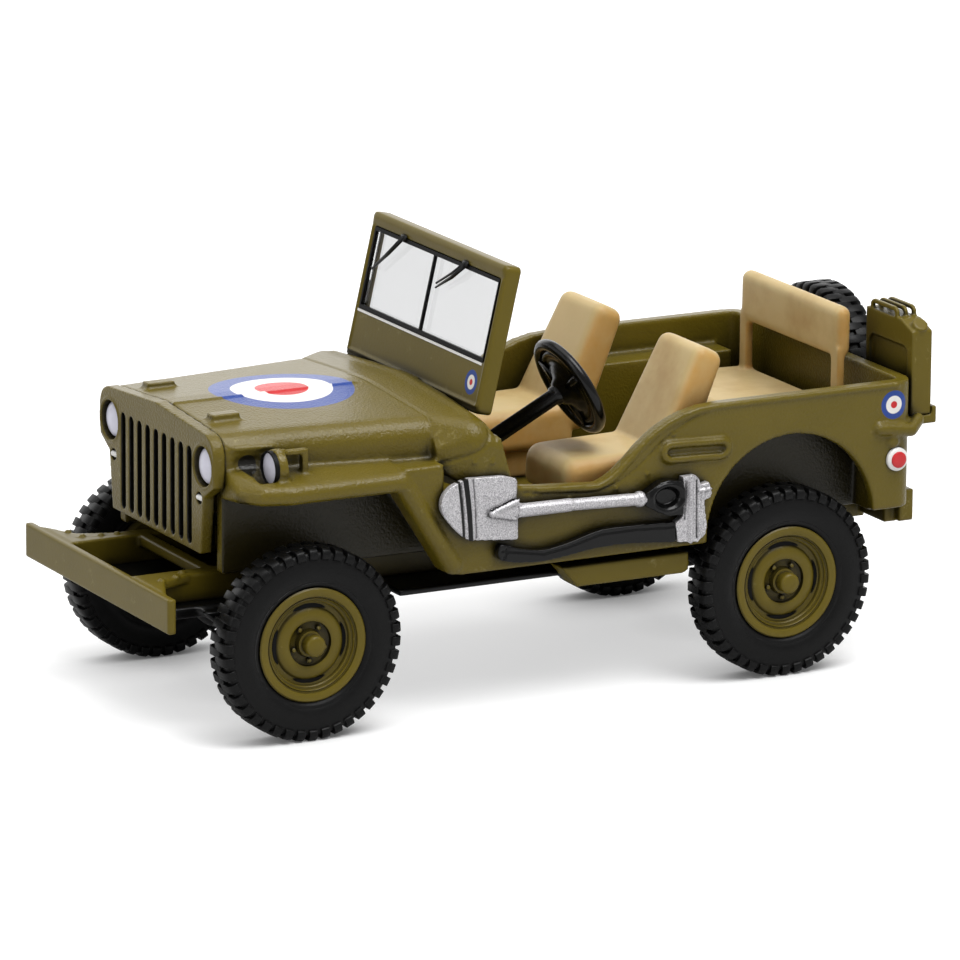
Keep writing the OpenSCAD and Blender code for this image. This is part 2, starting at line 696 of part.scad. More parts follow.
module spare_wheel() color(olive) laid_out() translate([-tub_back - spare_gap, spare_y, spare_z])
    rotate([0, -90, 0]) {
        rotate_extrude($fn = 72) polygon([[0.7, 0.3], [rim_r, 0.3], [rim_r, spare_w - 0.3],
            [rim_r + 0.12, spare_w - 0.3], [rim_r + 0.12, spare_w - 0.15], [rim_r - 0.15, spare_w - 0.1],
            [rim_r - 0.3, spare_w - 0.5], [2.2, spare_w - 0.75], [1.2, spare_w - 0.75],
            [0.7, spare_w - 0.75]]);
        translate([0, 0, -spare_gap]) cylinder(r = 0.72, h = spare_w - 0.3 + spare_gap);
    }

module spare_tyre() color(black) laid_out() translate([-tub_back - spare_gap, spare_y, spare_z])
    rotate([0, -90, 0]) tyre(spare_w);

// ---- running gear --------------------------------------------------------

module axle(x) color(silver) laid_out() translate([x, 0, axle_z])
    bar_y(axle_r, -track_half + 0.6, track_half - 0.6);

// A wheel or tyre on the left (side = 1) or right (side = -1) end of an axle.
module on_axle(x, side) translate([x, 0, axle_z]) mirror([0, side > 0 ? 0 : 1, 0])
    translate([0, tyre_in, 0]) rotate([-90, 0, 0]) children();

module car_wheel(x, side) color(olive) laid_out() on_axle(x, side) wheel(tyre_w);
module car_tyre(x, side) color(black) laid_out() on_axle(x, side) tyre(tyre_w);

tub();
cowl();
hood();
engine_bay();
front_left_fender();
front_right_fender();
grille();
radiator();
frame();
base_plate();
base_rivets();
windscreen_frame();
windscreen_glass();
wipers();
driver_seat();
passenger_seat();
rear_seat();
steering_wheel();
headlamps();
marker_lamps();
blackout_lamp();
tail_lamps();
shovel();
shovel_grip();
axe_head();
axe_handle();
petrol_can();
can_rack();
spare_wheel();
spare_tyre();
axle(axle_x);  // front_axle
car_wheel(axle_x, 1);  // front_left_wheel
car_tyre(axle_x, 1);  // front_left_tyre
car_wheel(axle_x, -1);  // front_right_wheel
car_tyre(axle_x, -1);  // front_right_tyre
axle(-axle_x);  // rear_axle
car_wheel(-axle_x, 1);  // rear_left_wheel
car_tyre(-axle_x, 1);  // rear_left_tyre
car_wheel(-axle_x, -1);  // rear_right_wheel
car_tyre(-axle_x, -1);  // rear_right_tyre
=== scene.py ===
import math

import bmesh
import bpy
import numpy as np
from mathutils import Matrix, Vector


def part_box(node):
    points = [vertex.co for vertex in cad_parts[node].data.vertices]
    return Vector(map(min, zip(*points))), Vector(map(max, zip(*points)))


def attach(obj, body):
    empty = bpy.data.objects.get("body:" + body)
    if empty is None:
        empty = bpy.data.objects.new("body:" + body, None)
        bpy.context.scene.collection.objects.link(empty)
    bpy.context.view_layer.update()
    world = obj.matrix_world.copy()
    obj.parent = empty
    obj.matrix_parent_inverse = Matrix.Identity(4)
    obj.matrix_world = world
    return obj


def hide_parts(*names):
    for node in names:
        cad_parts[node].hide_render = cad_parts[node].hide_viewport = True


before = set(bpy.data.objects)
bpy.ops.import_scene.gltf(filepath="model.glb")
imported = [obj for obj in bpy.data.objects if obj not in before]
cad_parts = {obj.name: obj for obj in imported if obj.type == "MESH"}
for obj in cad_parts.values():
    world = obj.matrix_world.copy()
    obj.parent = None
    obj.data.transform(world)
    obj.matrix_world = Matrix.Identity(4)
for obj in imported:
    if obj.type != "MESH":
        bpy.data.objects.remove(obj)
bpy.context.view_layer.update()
print("frame loaded")

# Work is in millimetres, laid out from the middle of the wheelbase; toFrame puts it into the frame in metres.
mm = 0.001


def middleOf(node):
    low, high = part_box(node)
    return (low + high) / 2 / mm


frontAxle, rearAxle = middleOf("front_axle"), middleOf("rear_axle")
midX = (frontAxle.x + rearAxle.x) / 2
toFrame = Matrix.Scale(mm, 4) @ Matrix.Translation((midX, 0, 0))
fromFrame = toFrame.inverted()
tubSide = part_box("cowl")[1].y / mm


# The middle of a CAD node in working millimetres.
def centreOf(node):
    middle = middleOf(node)
    return Vector((middle.x - midX, middle.y, middle.z))


def newObject(name, data):
    holder = bpy.data.objects.new(name, data)
    bpy.context.scene.collection.objects.link(holder)
    return holder


# Shader nodes and colours.
def linearOf(hexColour):
    parts = [int(hexColour[i:i + 2], 16) / 255 for i in (1, 3, 5)]
    return tuple(c / 12.92 if c <= 0.04045 else ((c + 0.055) / 1.055) ** 2.4 for c in parts) + (1.0,)


def put(tree, kind, settings=None, inputs=None):
    node = tree.nodes.new(kind)
    for name, value in (settings or {}).items():
        setattr(node, name, value)
    for name, value in (inputs or {}).items():
        if isinstance(value, bpy.types.NodeSocket):
            tree.links.new(value, node.inputs[name])
        else:
            node.inputs[name].default_value = value
    return node


def newMaterial(name, shaderValues):
    material = bpy.data.materials.new(name)
    material.use_nodes = True
    tree = material.node_tree
    tree.nodes.clear()
    shader = put(tree, "ShaderNodeBsdfPrincipled", inputs=shaderValues)
    put(tree, "ShaderNodeOutputMaterial", inputs={"Surface": shader.outputs["BSDF"]})
    return material, tree, shader


def inMillimetres(tree):
    place = put(tree, "ShaderNodeTexCoord").outputs["Object"]
    return put(tree, "ShaderNodeMapping", inputs={"Vector": place, "Scale": (1 / mm,) * 3}).outputs[0]


def maths(tree, operation, *values):
    return put(tree, "ShaderNodeMath", {"operation": operation}, dict(enumerate(values))).outputs[0]


def vectorMaths(tree, operation, *values):
    outputs = put(tree, "ShaderNodeVectorMath", {"operation": operation}, dict(enumerate(values))).outputs
    return outputs["Value" if operation in ("DISTANCE", "LENGTH") else "Vector"]


def times(tree, *values):
    product = values[0]
    for value in values[1:]:
        product = maths(tree, "MULTIPLY", product, value)
    return product


def partsOf(tree, vector):
    return put(tree, "ShaderNodeSeparateXYZ", inputs={0: vector}).outputs


def surface(tree, name):
    return put(tree, "ShaderNodeNewGeometry").outputs[name]


def grain(tree, where, sizeMm, detail=2.0, roughness=0.5):
    return put(tree, "ShaderNodeTexNoise", inputs={"Vector": where, "Scale": 1 / sizeMm, "Detail": detail,
                                                   "Roughness": roughness}).outputs["Fac"]


def bumpFrom(tree, height, distanceMm, strength, shader):
    bump = put(tree, "ShaderNodeBump", inputs={"Height": height, "Distance": distanceMm * mm, "Strength": strength})
    tree.links.new(bump.outputs["Normal"], shader.inputs["Normal"])


def blendColours(tree, share, first, second):
    # the mix node's sockets for its factor and its two colours
    sockets = {0: share, 6: first, 7: second}
    return put(tree, "ShaderNodeMix", {"data_type": "RGBA"}, sockets).outputs[2]


def ramp(tree, value, low, high, fromValue=0.0, toValue=1.0):
    return put(tree, "ShaderNodeMapRange", inputs={"Value": value, "From Min": low, "From Max": high,
                                                   "To Min": fromValue, "To Max": toValue}).outputs[0]


def falling(tree, value, low, high):
    return ramp(tree, value, low, high, 1.0, 0.0)


# 1 where the value lies between two bounds, with a soft edge just inside them.
def band(tree, value, low, high, edge):
    return times(tree, ramp(tree, value, low, low + edge), falling(tree, value, high - edge, high))


# Two tones in soft patches.
def patches(tree, where, tones, patch):
    first, second = (linearOf(tone) if isinstance(tone, str) else tone for tone in tones)
    return blendColours(tree, grain(tree, where, *patch), first, second)


# How deep a place lies in the shape, 1 in deep hollows.
def hollowness(tree, reachMm, low, high, samples=8):
    openness = put(tree, "ShaderNodeAmbientOcclusion", {"samples": samples}, {"Distance": reachMm * mm}).outputs["AO"]
    return falling(tree, openness, low, high)


# Painted shade that darkens hollows: their reach in mm, two bounds of openness, its share and its colour.
def shadeInHollows(tree, below, reachMm, low, high, share, hexColour):
    return blendColours(tree, times(tree, hollowness(tree, reachMm, low, high), share), below, linearOf(hexColour))


# Half the width over which the edge of a print or stripe fades, in mm.
printEdge = 0.02
roundel = ("#27438c", "#e4e1dc", "#c0282a")  # blue, white and red


# A printed disc of rings laid over what is below, from the outside in, by distance from its centre.
def printRings(tree, where, below, centre, radii, flat, side=None, colours=roundel):
    middle = tuple(c * f for c, f in zip(centre, flat))
    away = vectorMaths(tree, "DISTANCE", vectorMaths(tree, "MULTIPLY", where, flat), middle)
    colour = below
    for radius, hexColour in zip(radii, colours):
        mask = falling(tree, away, radius - printEdge, radius + printEdge)
        if side is not None:
            mask = times(tree, mask, side)
        colour = blendColours(tree, mask, colour, linearOf(hexColour))
    return colour


# A painted stripe on the X-Z plane through (x, z), leaning by slope.
def slantStripe(tree, where, below, x, z, slope, halfWidth, hexColour):
    parts = partsOf(tree, where)
    lean = maths(tree, "MULTIPLY_ADD", parts["Z"], -slope, slope * z - (x + midX))
    away = maths(tree, "ABSOLUTE", maths(tree, "ADD", parts["X"], lean))
    stripe = falling(tree, away, halfWidth - printEdge, halfWidth + printEdge)
    return blendColours(tree, stripe, below, linearOf(hexColour))


# A material from its coat: the shader's uniform values, and the grain and depth of its fine relief.
def coated(name, coat, colourOf):
    material, tree, shader = newMaterial(name, coat["shader"])
    where = inMillimetres(tree)
    tree.links.new(colourOf(tree, where), shader.inputs["Base Color"])
    bumpFrom(tree, grain(tree, where, *coat["relief"]), *coat["bump"], shader)
    return material


def twoTone(name, coat):
    return coated(name, coat, lambda tree, where: patches(tree, where, coat["tones"], coat["patch"]))


# Grains are given as size in mm, detail and roughness; a bump as depth in mm and strength.
olive = {
    "tones": ("#5a4e10", "#655715"), "patch": (3.0, 3.0),
    # pale specks on sharp edges are a painted highlight, the glints of the orange peel; creases and hollows take
    # painted shade
    "edgeGlint": "#a89c68", "edgeGlintBend": (0.55, 0.66, 0.0, 0.25), "glintSpeck": (0.22, 3.0), "glintSpecked": (0.5, 0.7),
    "shadedCreases": (0.9, 0.6, 0.86, 0.75, "#1d1907"), "shadedHollows": (5.0, 0.22, 0.72, 0.85, "#131108"),
}


# Olive paint, slightly cloudy, with painted shade in its hollows and creases and a painted highlight of thin pale
# specks on sharp edges.
def oliveCoat(tree, where):
    colour = patches(tree, where, olive["tones"], olive["patch"])
    # painted highlight: pale specks on the sharp edges
    bend = ramp(tree, surface(tree, "Pointiness"), *olive["edgeGlintBend"])
    glintSpecks = ramp(tree, grain(tree, where, *olive["glintSpeck"]), *olive["glintSpecked"])
    colour = blendColours(tree, times(tree, bend, glintSpecks), colour, linearOf(olive["edgeGlint"]))
    # painted shade: dark in the creases, then darker in the deep hollows
    colour = shadeInHollows(tree, colour, *olive["shadedCreases"])
    return shadeInHollows(tree, colour, *olive["shadedHollows"])


def olivePaint(name, coat, prints=()):
    def colourOf(tree, where):
        colour = oliveCoat(tree, where)
        for make in prints:
            colour = make(tree, where, colour)
        return colour
    return coated(name, coat, colourOf)


# Sprayed enamel over a zinc casting: satin, with the orange peel of a thick coat, that
# catches light as specks on the round edges.
enamelOnZinc = {"shader": {"Roughness": 0.29, "Specular IOR Level": 0.3}, "relief": (0.16, 2.0, 0.6),
                "bump": (0.04, 1.0)}

# Injection-moulded ABS in the same olive, a touch smoother than the casting.
oliveAbs = {"shader": {"Roughness": 0.36, "Specular IOR Level": 0.24}, "relief": (0.2, 2.0), "bump": (0.015, 0.4)}

# where painted shade darkens the wheel wells
wellShade = {"outward": (0.5, 3.0), "inside": (tubSide - 1.3, tubSide - 0.9), "low": (14.3, 14.9), "share": 0.85,
         "colour": "#15130a"}


# Painted shade: the outward walls behind the wheels, low under the fenders, are darkened nearly to black.
def paintedWellShade(tree, where, below):
    place, faced = partsOf(tree, where), partsOf(tree, surface(tree, "Normal"))
    outward = ramp(tree, times(tree, place["Y"], faced["Y"]), *wellShade["outward"])
    inside = falling(tree, maths(tree, "ABSOLUTE", place["Y"]), *wellShade["inside"])
    low = falling(tree, place["Z"], *wellShade["low"])
    return blendColours(tree, times(tree, outward, inside, low, wellShade["share"]), below, linearOf(wellShade["colour"]))


slots = {"turned": (0.5, 0.8), "half": (5.0, 5.1), "height": (9.0, 17.3, 0.1), "colour": "#0c0b07"}


# The walls of the grille's slots, those that don't face forward, are darkened to near black.
def slotWallDarkening(tree, where, below):
    place, faced = partsOf(tree, where), partsOf(tree, surface(tree, "Normal"))
    sideways = falling(tree, maths(tree, "ABSOLUTE", faced["X"]), *slots["turned"])
    middle = falling(tree, maths(tree, "ABSOLUTE", place["Y"]), *slots["half"])
    high = band(tree, place["Z"], *slots["height"])
    return blendColours(tree, times(tree, sideways, middle, high), below, linearOf(slots["colour"]))


# Centre and ring radii of each print and of the painted shade disc in each hood recess, and where the surfaces that
# carry them begin.
prints = {
    "hood": ((12.41 + midX, 0, 0), (4.34, 3.05, 1.6)), "hoodFrom": (17.5, 17.55),
    "side": ((-23.34 + midX, 0, 15.88), (0.88, 0.55, 0.22)), "sideFrom": (tubSide - 0.3, tubSide - 0.25),
    "screen": ((0, 7.13, 19.34), (0.72, 0.43, 0.18)),
    # recess keys place a disc of painted shade
    "recess": ((18.4 + midX, 0, 16.15), (0.55,)), "recessShadeBand": (6.0, 9.3, 0.1), "recessShadeColour": "#14120a",
}


def hoodPrint(tree, where, below):
    top = ramp(tree, partsOf(tree, where)["Z"], *prints["hoodFrom"])
    return printRings(tree, where, below, *prints["hood"], (1, 1, 0), top)


# Painted shade: a dark disc on each side of the hood, behind the grille, where the opening lies in shadow.
def paintedRecessShade(tree, where, below):
    side = band(tree, maths(tree, "ABSOLUTE", partsOf(tree, where)["Y"]), *prints["recessShadeBand"])
    return printRings(tree, where, below, *prints["recess"], (1, 0, 1), side, (prints["recessShadeColour"],))


def sidePrints(tree, where, below):
    outer = ramp(tree, maths(tree, "ABSOLUTE", partsOf(tree, where)["Y"]), *prints["sideFrom"])
    return printRings(tree, where, below, *prints["side"], (1, 0, 1), outer)


def screenPrint(tree, where, below):
    return printRings(tree, where, below, *prints["screen"], (0, 1, 1))


# Moulded polystyrene in sand colour with darker ochre clouds; painted shade makes its sides, creases and hollows
# darker ochre.
sand = {
    "shader": {"Roughness": 0.48, "Specular IOR Level": 0.4, "Subsurface Weight": 0.05},
    "relief": (0.3, 3.0), "bump": (0.015, 0.3), "tones": ("#b39a68", "#c2aa7a"), "patch": (3.5, 3.0),
    # side and crease colours are painted shade: faces turned sideways, in streaks, and concave creases
    "side": "#b1823a", "turned": (0.35, 0.85), "streak": (2.2, 4.0, 0.6), "streaked": (0.3, 0.75, 0.45, 1.0),
    "cloud": "#94713a", "cloudGrain": (4.0, 4.0, 0.6), "clouded": (0.48, 0.75, 0.0, 0.55),
    "crease": "#80591f", "creaseShadeBend": (0.38, 0.49, 0.8, 0.0), "shadedHollows": (4.0, 0.25, 0.7, 0.8, "#4a3515"),
}


def sandColour(tree, where):
    colour = patches(tree, where, sand["tones"], sand["patch"])
    # painted shade: faces turned sideways, streaked, and concave creases turn darker ochre; clouds are random tone
    across = maths(tree, "ABSOLUTE", partsOf(tree, surface(tree, "Normal"))["Y"])
    streaks = ramp(tree, grain(tree, where, *sand["streak"]), *sand["streaked"])
    sides = times(tree, ramp(tree, across, *sand["turned"]), streaks)
    clouds = ramp(tree, grain(tree, where, *sand["cloudGrain"]), *sand["clouded"])
    shadedCreases = ramp(tree, surface(tree, "Pointiness"), *sand["creaseShadeBend"])
    for share, tone in ((sides, "side"), (clouds, "cloud"), (shadedCreases, "crease")):
        colour = blendColours(tree, share, colour, linearOf(sand[tone]))
    return shadeInHollows(tree, colour, *sand["shadedHollows"])


# Black ABS, semi-gloss from a polished mould, and glossier where it is handled.
blackAbs = {"shader": {"Roughness": 0.33, "Specular IOR Level": 0.3}, "relief": (0.25, 2.0), "bump": (0.015, 0.3),
            "tones": ("#040404", "#080808"), "patch": (1.5, 3.0)}
blackAbsGloss = dict(blackAbs, shader={"Roughness": 0.24, "Specular IOR Level": 0.3})

# Soft vinyl rubber: black, with a dull shine on the corners of the lugs.
tyreRubber = {"shader": {"Roughness": 0.42, "Specular IOR Level": 0.2}, "relief": (0.12, 3.0, 0.6),
              "bump": (0.015, 0.6), "tones": ("#050505", "#0a0a0a"), "patch": (1.2, 4.0, 0.6)}

# Silver lacquer with fine aluminium flake, brushed on, with painted shade in black round and between the shapes.
silver = {
    "shader": {"Metallic": 0.4, "Specular IOR Level": 0.5, "Roughness": 0.36}, "bump": (0.012, 0.35),
    "tones": ("#8f8d91", "#dedcde"), "flake": (0.07, 2.0, 0.7), "flaked": (0.35, 0.65),
    # creased and hollows set painted shade in black; the same black draws the printed strap lines
    "black": "#0b0b0b", "creaseShadeBend": (0.44, 0.49, 0.9, 0.0), "shadedHollows": (0.5, 0.6, 0.85, 0.8),
    # black lines beside the strap over the shovel: x, z, slope and half width
    "strapLines": ((5.86, 12.8, 0.1, 0.15), (6.28, 12.8, 0.1, 0.1)),
}


def silverLacquer(name, stripes=()):
    material, tree, shader = newMaterial(name, silver["shader"])
    where = inMillimetres(tree)
    flakes = ramp(tree, grain(tree, where, *silver["flake"]), *silver["flaked"])
    dark, light = (linearOf(tone) for tone in silver["tones"])
    colour = blendColours(tree, flakes, dark, light)
    # painted shade: black in concave creases and in hollows
    shadedCreases = ramp(tree, surface(tree, "Pointiness"), *silver["creaseShadeBend"])
    colour = blendColours(tree, shadedCreases, colour, linearOf(silver["black"]))
    colour = shadeInHollows(tree, colour, *silver["shadedHollows"], silver["black"])
    for stripe in stripes:
        colour = slantStripe(tree, where, colour, *stripe, silver["black"])
    tree.links.new(colour, shader.inputs["Base Color"])
    bumpFrom(tree, flakes, *silver["bump"], shader)
    return material


# Clear polycarbonate, thin and polished, with a faint waviness.
clearSheet = {"shader": {"Base Color": (0.9, 0.905, 0.91, 1), "Roughness": 0.02, "IOR": 1.45,
                         "Transmission Weight": 1.0}, "wave": (3.0, 1.0), "bump": (0.003, 0.1)}


def clearPolycarbonate(name):
    material, tree, shader = newMaterial(name, clearSheet["shader"])
    bumpFrom(tree, grain(tree, inMillimetres(tree), *clearSheet["wave"]), *clearSheet["bump"], shader)
    return material


# A thin coat of plain gloss paint, such as the lamp reds and whites and the printed lines;
# deeper is how much of the colour is left in its darker patches.
plainCoat = {"relief": (0.15, 2.0), "bump": (0.01, 0.25), "patch": (0.6, 3.0), "deeper": 0.82}


def glossPaint(name, hexColour, roughness=0.3, gloss=0.5):
    base = linearOf(hexColour)
    deeper = tuple(c * plainCoat["deeper"] for c in base[:3]) + (1.0,)
    shader = {"Roughness": roughness, "Specular IOR Level": gloss}
    return twoTone(name, dict(plainCoat, shader=shader, tones=(base, deeper)))


# Bright drawn steel, with fine lines round the rod.
steel = {"tones": ("#9a9a9c", "#c4c4c6"), "stretch": (1, 12, 1), "lineSize": 0.5, "dulled": (0.3, 0.7, 0.25, 0.4)}


def drawnSteel(name):
    material, tree, shader = newMaterial(name, {"Metallic": 1.0})
    lines = grain(tree, vectorMaths(tree, "MULTIPLY", inMillimetres(tree), steel["stretch"]), steel["lineSize"])
    dark, light = (linearOf(tone) for tone in steel["tones"])
    tree.links.new(blendColours(tree, lines, dark, light), shader.inputs["Base Color"])
    tree.links.new(ramp(tree, lines, *steel["dulled"]), shader.inputs["Roughness"])
    return material


paint = {
    "casting": olivePaint("enamelOnZinc", enamelOnZinc, (paintedWellShade, paintedRecessShade, hoodPrint, sidePrints)),
    "grilleCasting": olivePaint("enamelOnZincGrille", enamelOnZinc, (slotWallDarkening,)),
    "oliveAbs": olivePaint("oliveAbs", oliveAbs),
    "screenAbs": olivePaint("oliveAbsScreen", oliveAbs, (screenPrint,)),
    "sand": coated("sandPolystyrene", sand, sandColour),
    "black": twoTone("blackAbs", blackAbs),
    "blackGloss": twoTone("blackAbsGloss", blackAbsGloss),
    "rubber": twoTone("tyreRubber", tyreRubber),
    "silver": silverLacquer("silverLacquer"),
    "shovelSilver": silverLacquer("silverLacquerStrap", silver["strapLines"]),
    "lens": glossPaint("silverLens", "#d9d8e6", 0.2),
    "clear": clearPolycarbonate("clearPolycarbonate"),
    "white": glossPaint("whitePaint", "#f0efec"),
    "red": glossPaint("redPaint", "#c92428"),
    # black ink for printed seals and small black parts, and painted shade in the wheel slots
    "inkAndShadeBlack": glossPaint("blackInkAndShade", "#080808", 0.5, 0.15),
    "steel": drawnSteel("drawnSteel"),
}
print("materials ready")

# Axes of a flat outline, and ways a surface can face.
flatXY, flatXZ, flatYZ = [0, 1], [0, 2], [1, 2]
forward, leftward, upward = (1, 0, 0), (0, 1, 0), (0, 0, 1)


def meshFrom(points, faces):
    mesh = bpy.data.meshes.new("shape")
    mesh.from_pydata([tuple(p) for p in points], [], faces)
    mesh.update()
    return mesh


def addPiece(name, mesh, material, replaced=(), body="car", smooth=True, crease=None):
    mesh.transform(toFrame)
    mesh.name = name
    piece = newObject(name, mesh)
    mesh.materials.clear()
    mesh.materials.append(paint[material])
    if smooth:
        mesh.shade_smooth()
    if crease:
        mesh.set_sharp_from_angle(angle=math.radians(crease))
    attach(piece, body)
    if replaced:
        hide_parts(*replaced)


def meshOf(shape, mesh=None):
    mesh = mesh or bpy.data.meshes.new("shape")
    shape.to_mesh(mesh)
    shape.free()
    return mesh


# Copies of CAD nodes as one mesh in working millimetres; weld is in metres.
def copyOf(*nodes, weld=1e-7):
    shape = bmesh.new()
    for node in nodes:
        shape.from_mesh(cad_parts[node].data)
    bmesh.ops.remove_doubles(shape, verts=shape.verts, dist=weld)
    shape.transform(fromFrame)
    return meshOf(shape)


def joined(*meshes):
    shape = bmesh.new()
    for mesh in meshes:
        shape.from_mesh(mesh)
    return meshOf(shape)


# The mesh with its faces turned outward, after welding near points or cutting large faces into triangles.
def cleaned(mesh, weld=None, cut=False):
    shape = bmesh.new()
    shape.from_mesh(mesh)
    if weld:
        bmesh.ops.remove_doubles(shape, verts=shape.verts, dist=weld)
    bmesh.ops.recalc_face_normals(shape, faces=shape.faces)
    if cut:
        bmesh.ops.triangulate(shape, faces=[f for f in shape.faces if len(f.verts) > 4])
    return meshOf(shape, mesh)


def moved(mesh, matrix):
    copy = mesh.copy()
    copy.transform(matrix)
    return copy


def turned(degrees, axis):
    return Matrix.Rotation(math.radians(degrees), 4, axis)


# The mesh after a run of modifiers, each given as (type, settings).
def modified(mesh, *steps):
    holder = newObject("holder", mesh)
    for kind, settings in steps:
        modifier = holder.modifiers.new(kind.lower(), kind)
        for key, value in settings.items():
            setattr(modifier, key, value)
    bpy.context.view_layer.update()
    seen = holder.evaluated_get(bpy.context.evaluated_depsgraph_get())
    result = bpy.data.meshes.new_from_object(seen)
    bpy.data.objects.remove(holder)
    return result


# One skin over everything, as metal or plastic that filled one mould, with softened edges; how holds
# the voxel in mm, the rounds of smoothing and the share of faces kept.
def castSkin(mesh, how, reliefs=None):
    skin = modified(mesh, ("REMESH", {"mode": "VOXEL", "voxel_size": how["voxel"]}),
                    ("SMOOTH", {"factor": 0.5, "iterations": how["soften"]}))
    if reliefs:
        carve(skin, reliefs)
    return modified(skin, ("DECIMATE", {"ratio": how["keep"]}))


# Raises or sinks the surface along its normals; each relief takes points and normals and gives heights in mm.
def carve(mesh, reliefs):
    count = len(mesh.vertices)
    points, normals = np.zeros(count * 3), np.zeros(count * 3)
    mesh.vertices.foreach_get("co", points)
    mesh.vertices.foreach_get("normal", normals)
    points, normals = points.reshape(-1, 3), normals.reshape(-1, 3)
    height = sum(relief(points, normals) for relief in reliefs)
    points += normals * height[:, None]
    mesh.vertices.foreach_set("co", points.ravel())
    mesh.update()


def softStep(value, low, high):
    t = np.clip((value - low) / (high - low), 0, 1)
    return t * t * (3 - 2 * t)


# Whether points lie between two distances from the middle, on one side of it.
def beyond(axis, side, low, high=math.inf):
    return lambda points: (points[:, axis] * side > low) & (points[:, axis] * side < high)


# Distance of points from a broken line.
def awayFromLine(flat, line):
    best = np.full(len(flat), np.inf)
    for a, b in zip(line[:-1], line[1:]):
        a, b = np.array(a, float), np.array(b, float)
        t = np.clip(((flat - a) @ (b - a)) / ((b - a) @ (b - a)), 0, 1)
        best = np.minimum(best, np.linalg.norm(flat - (a + t[:, None] * (b - a)), axis=1))
    return best


def facingOnly(points, normals, facing, least, within):
    seen = (normals @ np.array(facing, float)) > least
    return seen & within(points) if within else seen


# A bead (height > 0) or groove (height < 0) along a line, on surfaces that face one way.
def beadAlong(line, width, height, axes, facing, least=0.5, within=None):
    def relief(points, normals):
        away = awayFromLine(points[:, axes], line)
        seen = facingOnly(points, normals, facing, least, within)
        return height * np.exp(-((away / (width / 2)) ** 2) * 1.5) * seen
    return relief


# Round rivet heads or dimples: centres in the two axes named.
def rivets(centres, radius, height, axes, facing, within=None, least=0.3):
    def relief(points, normals):
        total = np.zeros(len(points))
        for centre in centres:
            away = np.linalg.norm(points[:, axes] - np.array(centre), axis=1)
            total = np.maximum(total, height * (1 - softStep(away, radius * 0.6, radius * 1.2)))
        return total * facingOnly(points, normals, facing, least, within)
    return relief


# A shape turned round the Y axis from (radius, y) pairs.
def lathe(profile, steps=96, closed=False):
    turns = [2 * math.pi * i / steps for i in range(steps)]
    points = [(radius * math.sin(a), y, radius * math.cos(a)) for a in turns for radius, y in profile]
    faces, n = [], len(profile)
    for i in range(steps):
        j = (i + 1) % steps
        for k in range(n if closed else n - 1):
            m = (k + 1) % n
            faces.append((i * n + k, i * n + m, j * n + m, j * n + k))
    return cleaned(meshFrom(points, faces), weld=1e-5)


# A closed prism from an outline of two-axis points, swept along the third axis.
def prism(outline, axes, low, high):
    n = len(outline)
    points = []
    for level in (low, high):
        for p in outline:
            points.append([level] * 3)
            points[-1][axes[0]], points[-1][axes[1]] = p
    faces = [tuple(range(n)), tuple(range(2 * n - 1, n - 1, -1))]
    faces += [(i, (i + 1) % n, n + (i + 1) % n, n + i) for i in range(n)]
    return cleaned(meshFrom(points, faces), cut=True)


def boxMesh(low, high):
    outline = [(low[0], low[1]), (high[0], low[1]), (high[0], high[1]), (low[0], high[1])]
    return prism(outline, flatXY, low[2], high[2])


# A round rod through points, closed at both ends, with one radius or one for each point.
def rod(path, radii, sides=16):
    path = [Vector(p) for p in path]
    points, faces = [], []
    up = None
    for i, p in enumerate(path):
        ahead = (path[min(i + 1, len(path) - 1)] - path[max(i - 1, 0)]).normalized()
        if up is None:
            up = ahead.orthogonal().normalized()
        up = (up - ahead * up.dot(ahead)).normalized()
        side = ahead.cross(up)
        for s in range(sides):
            a = 2 * math.pi * s / sides
            points.append(p + (up * math.cos(a) + side * math.sin(a)) * radii[i])
    for i in range(len(path) - 1):
        for s in range(sides):
            t = (s + 1) % sides
            faces.append((i * sides + s, i * sides + t, (i + 1) * sides + t, (i + 1) * sides + s))
    faces.append(tuple(range(sides - 1, -1, -1)))
    faces.append(tuple((len(path) - 1) * sides + s for s in range(sides)))
    return cleaned(meshFrom(points, faces))


def cubic(a, b, c, d, steps=14):
    a, b, c, d = (np.array(p, float) for p in (a, b, c, d))
    return [tuple((1 - t) ** 3 * a + 3 * (1 - t) ** 2 * t * b + 3 * (1 - t) * t * t * c + t ** 3 * d)
            for t in np.linspace(0, 1, steps)]


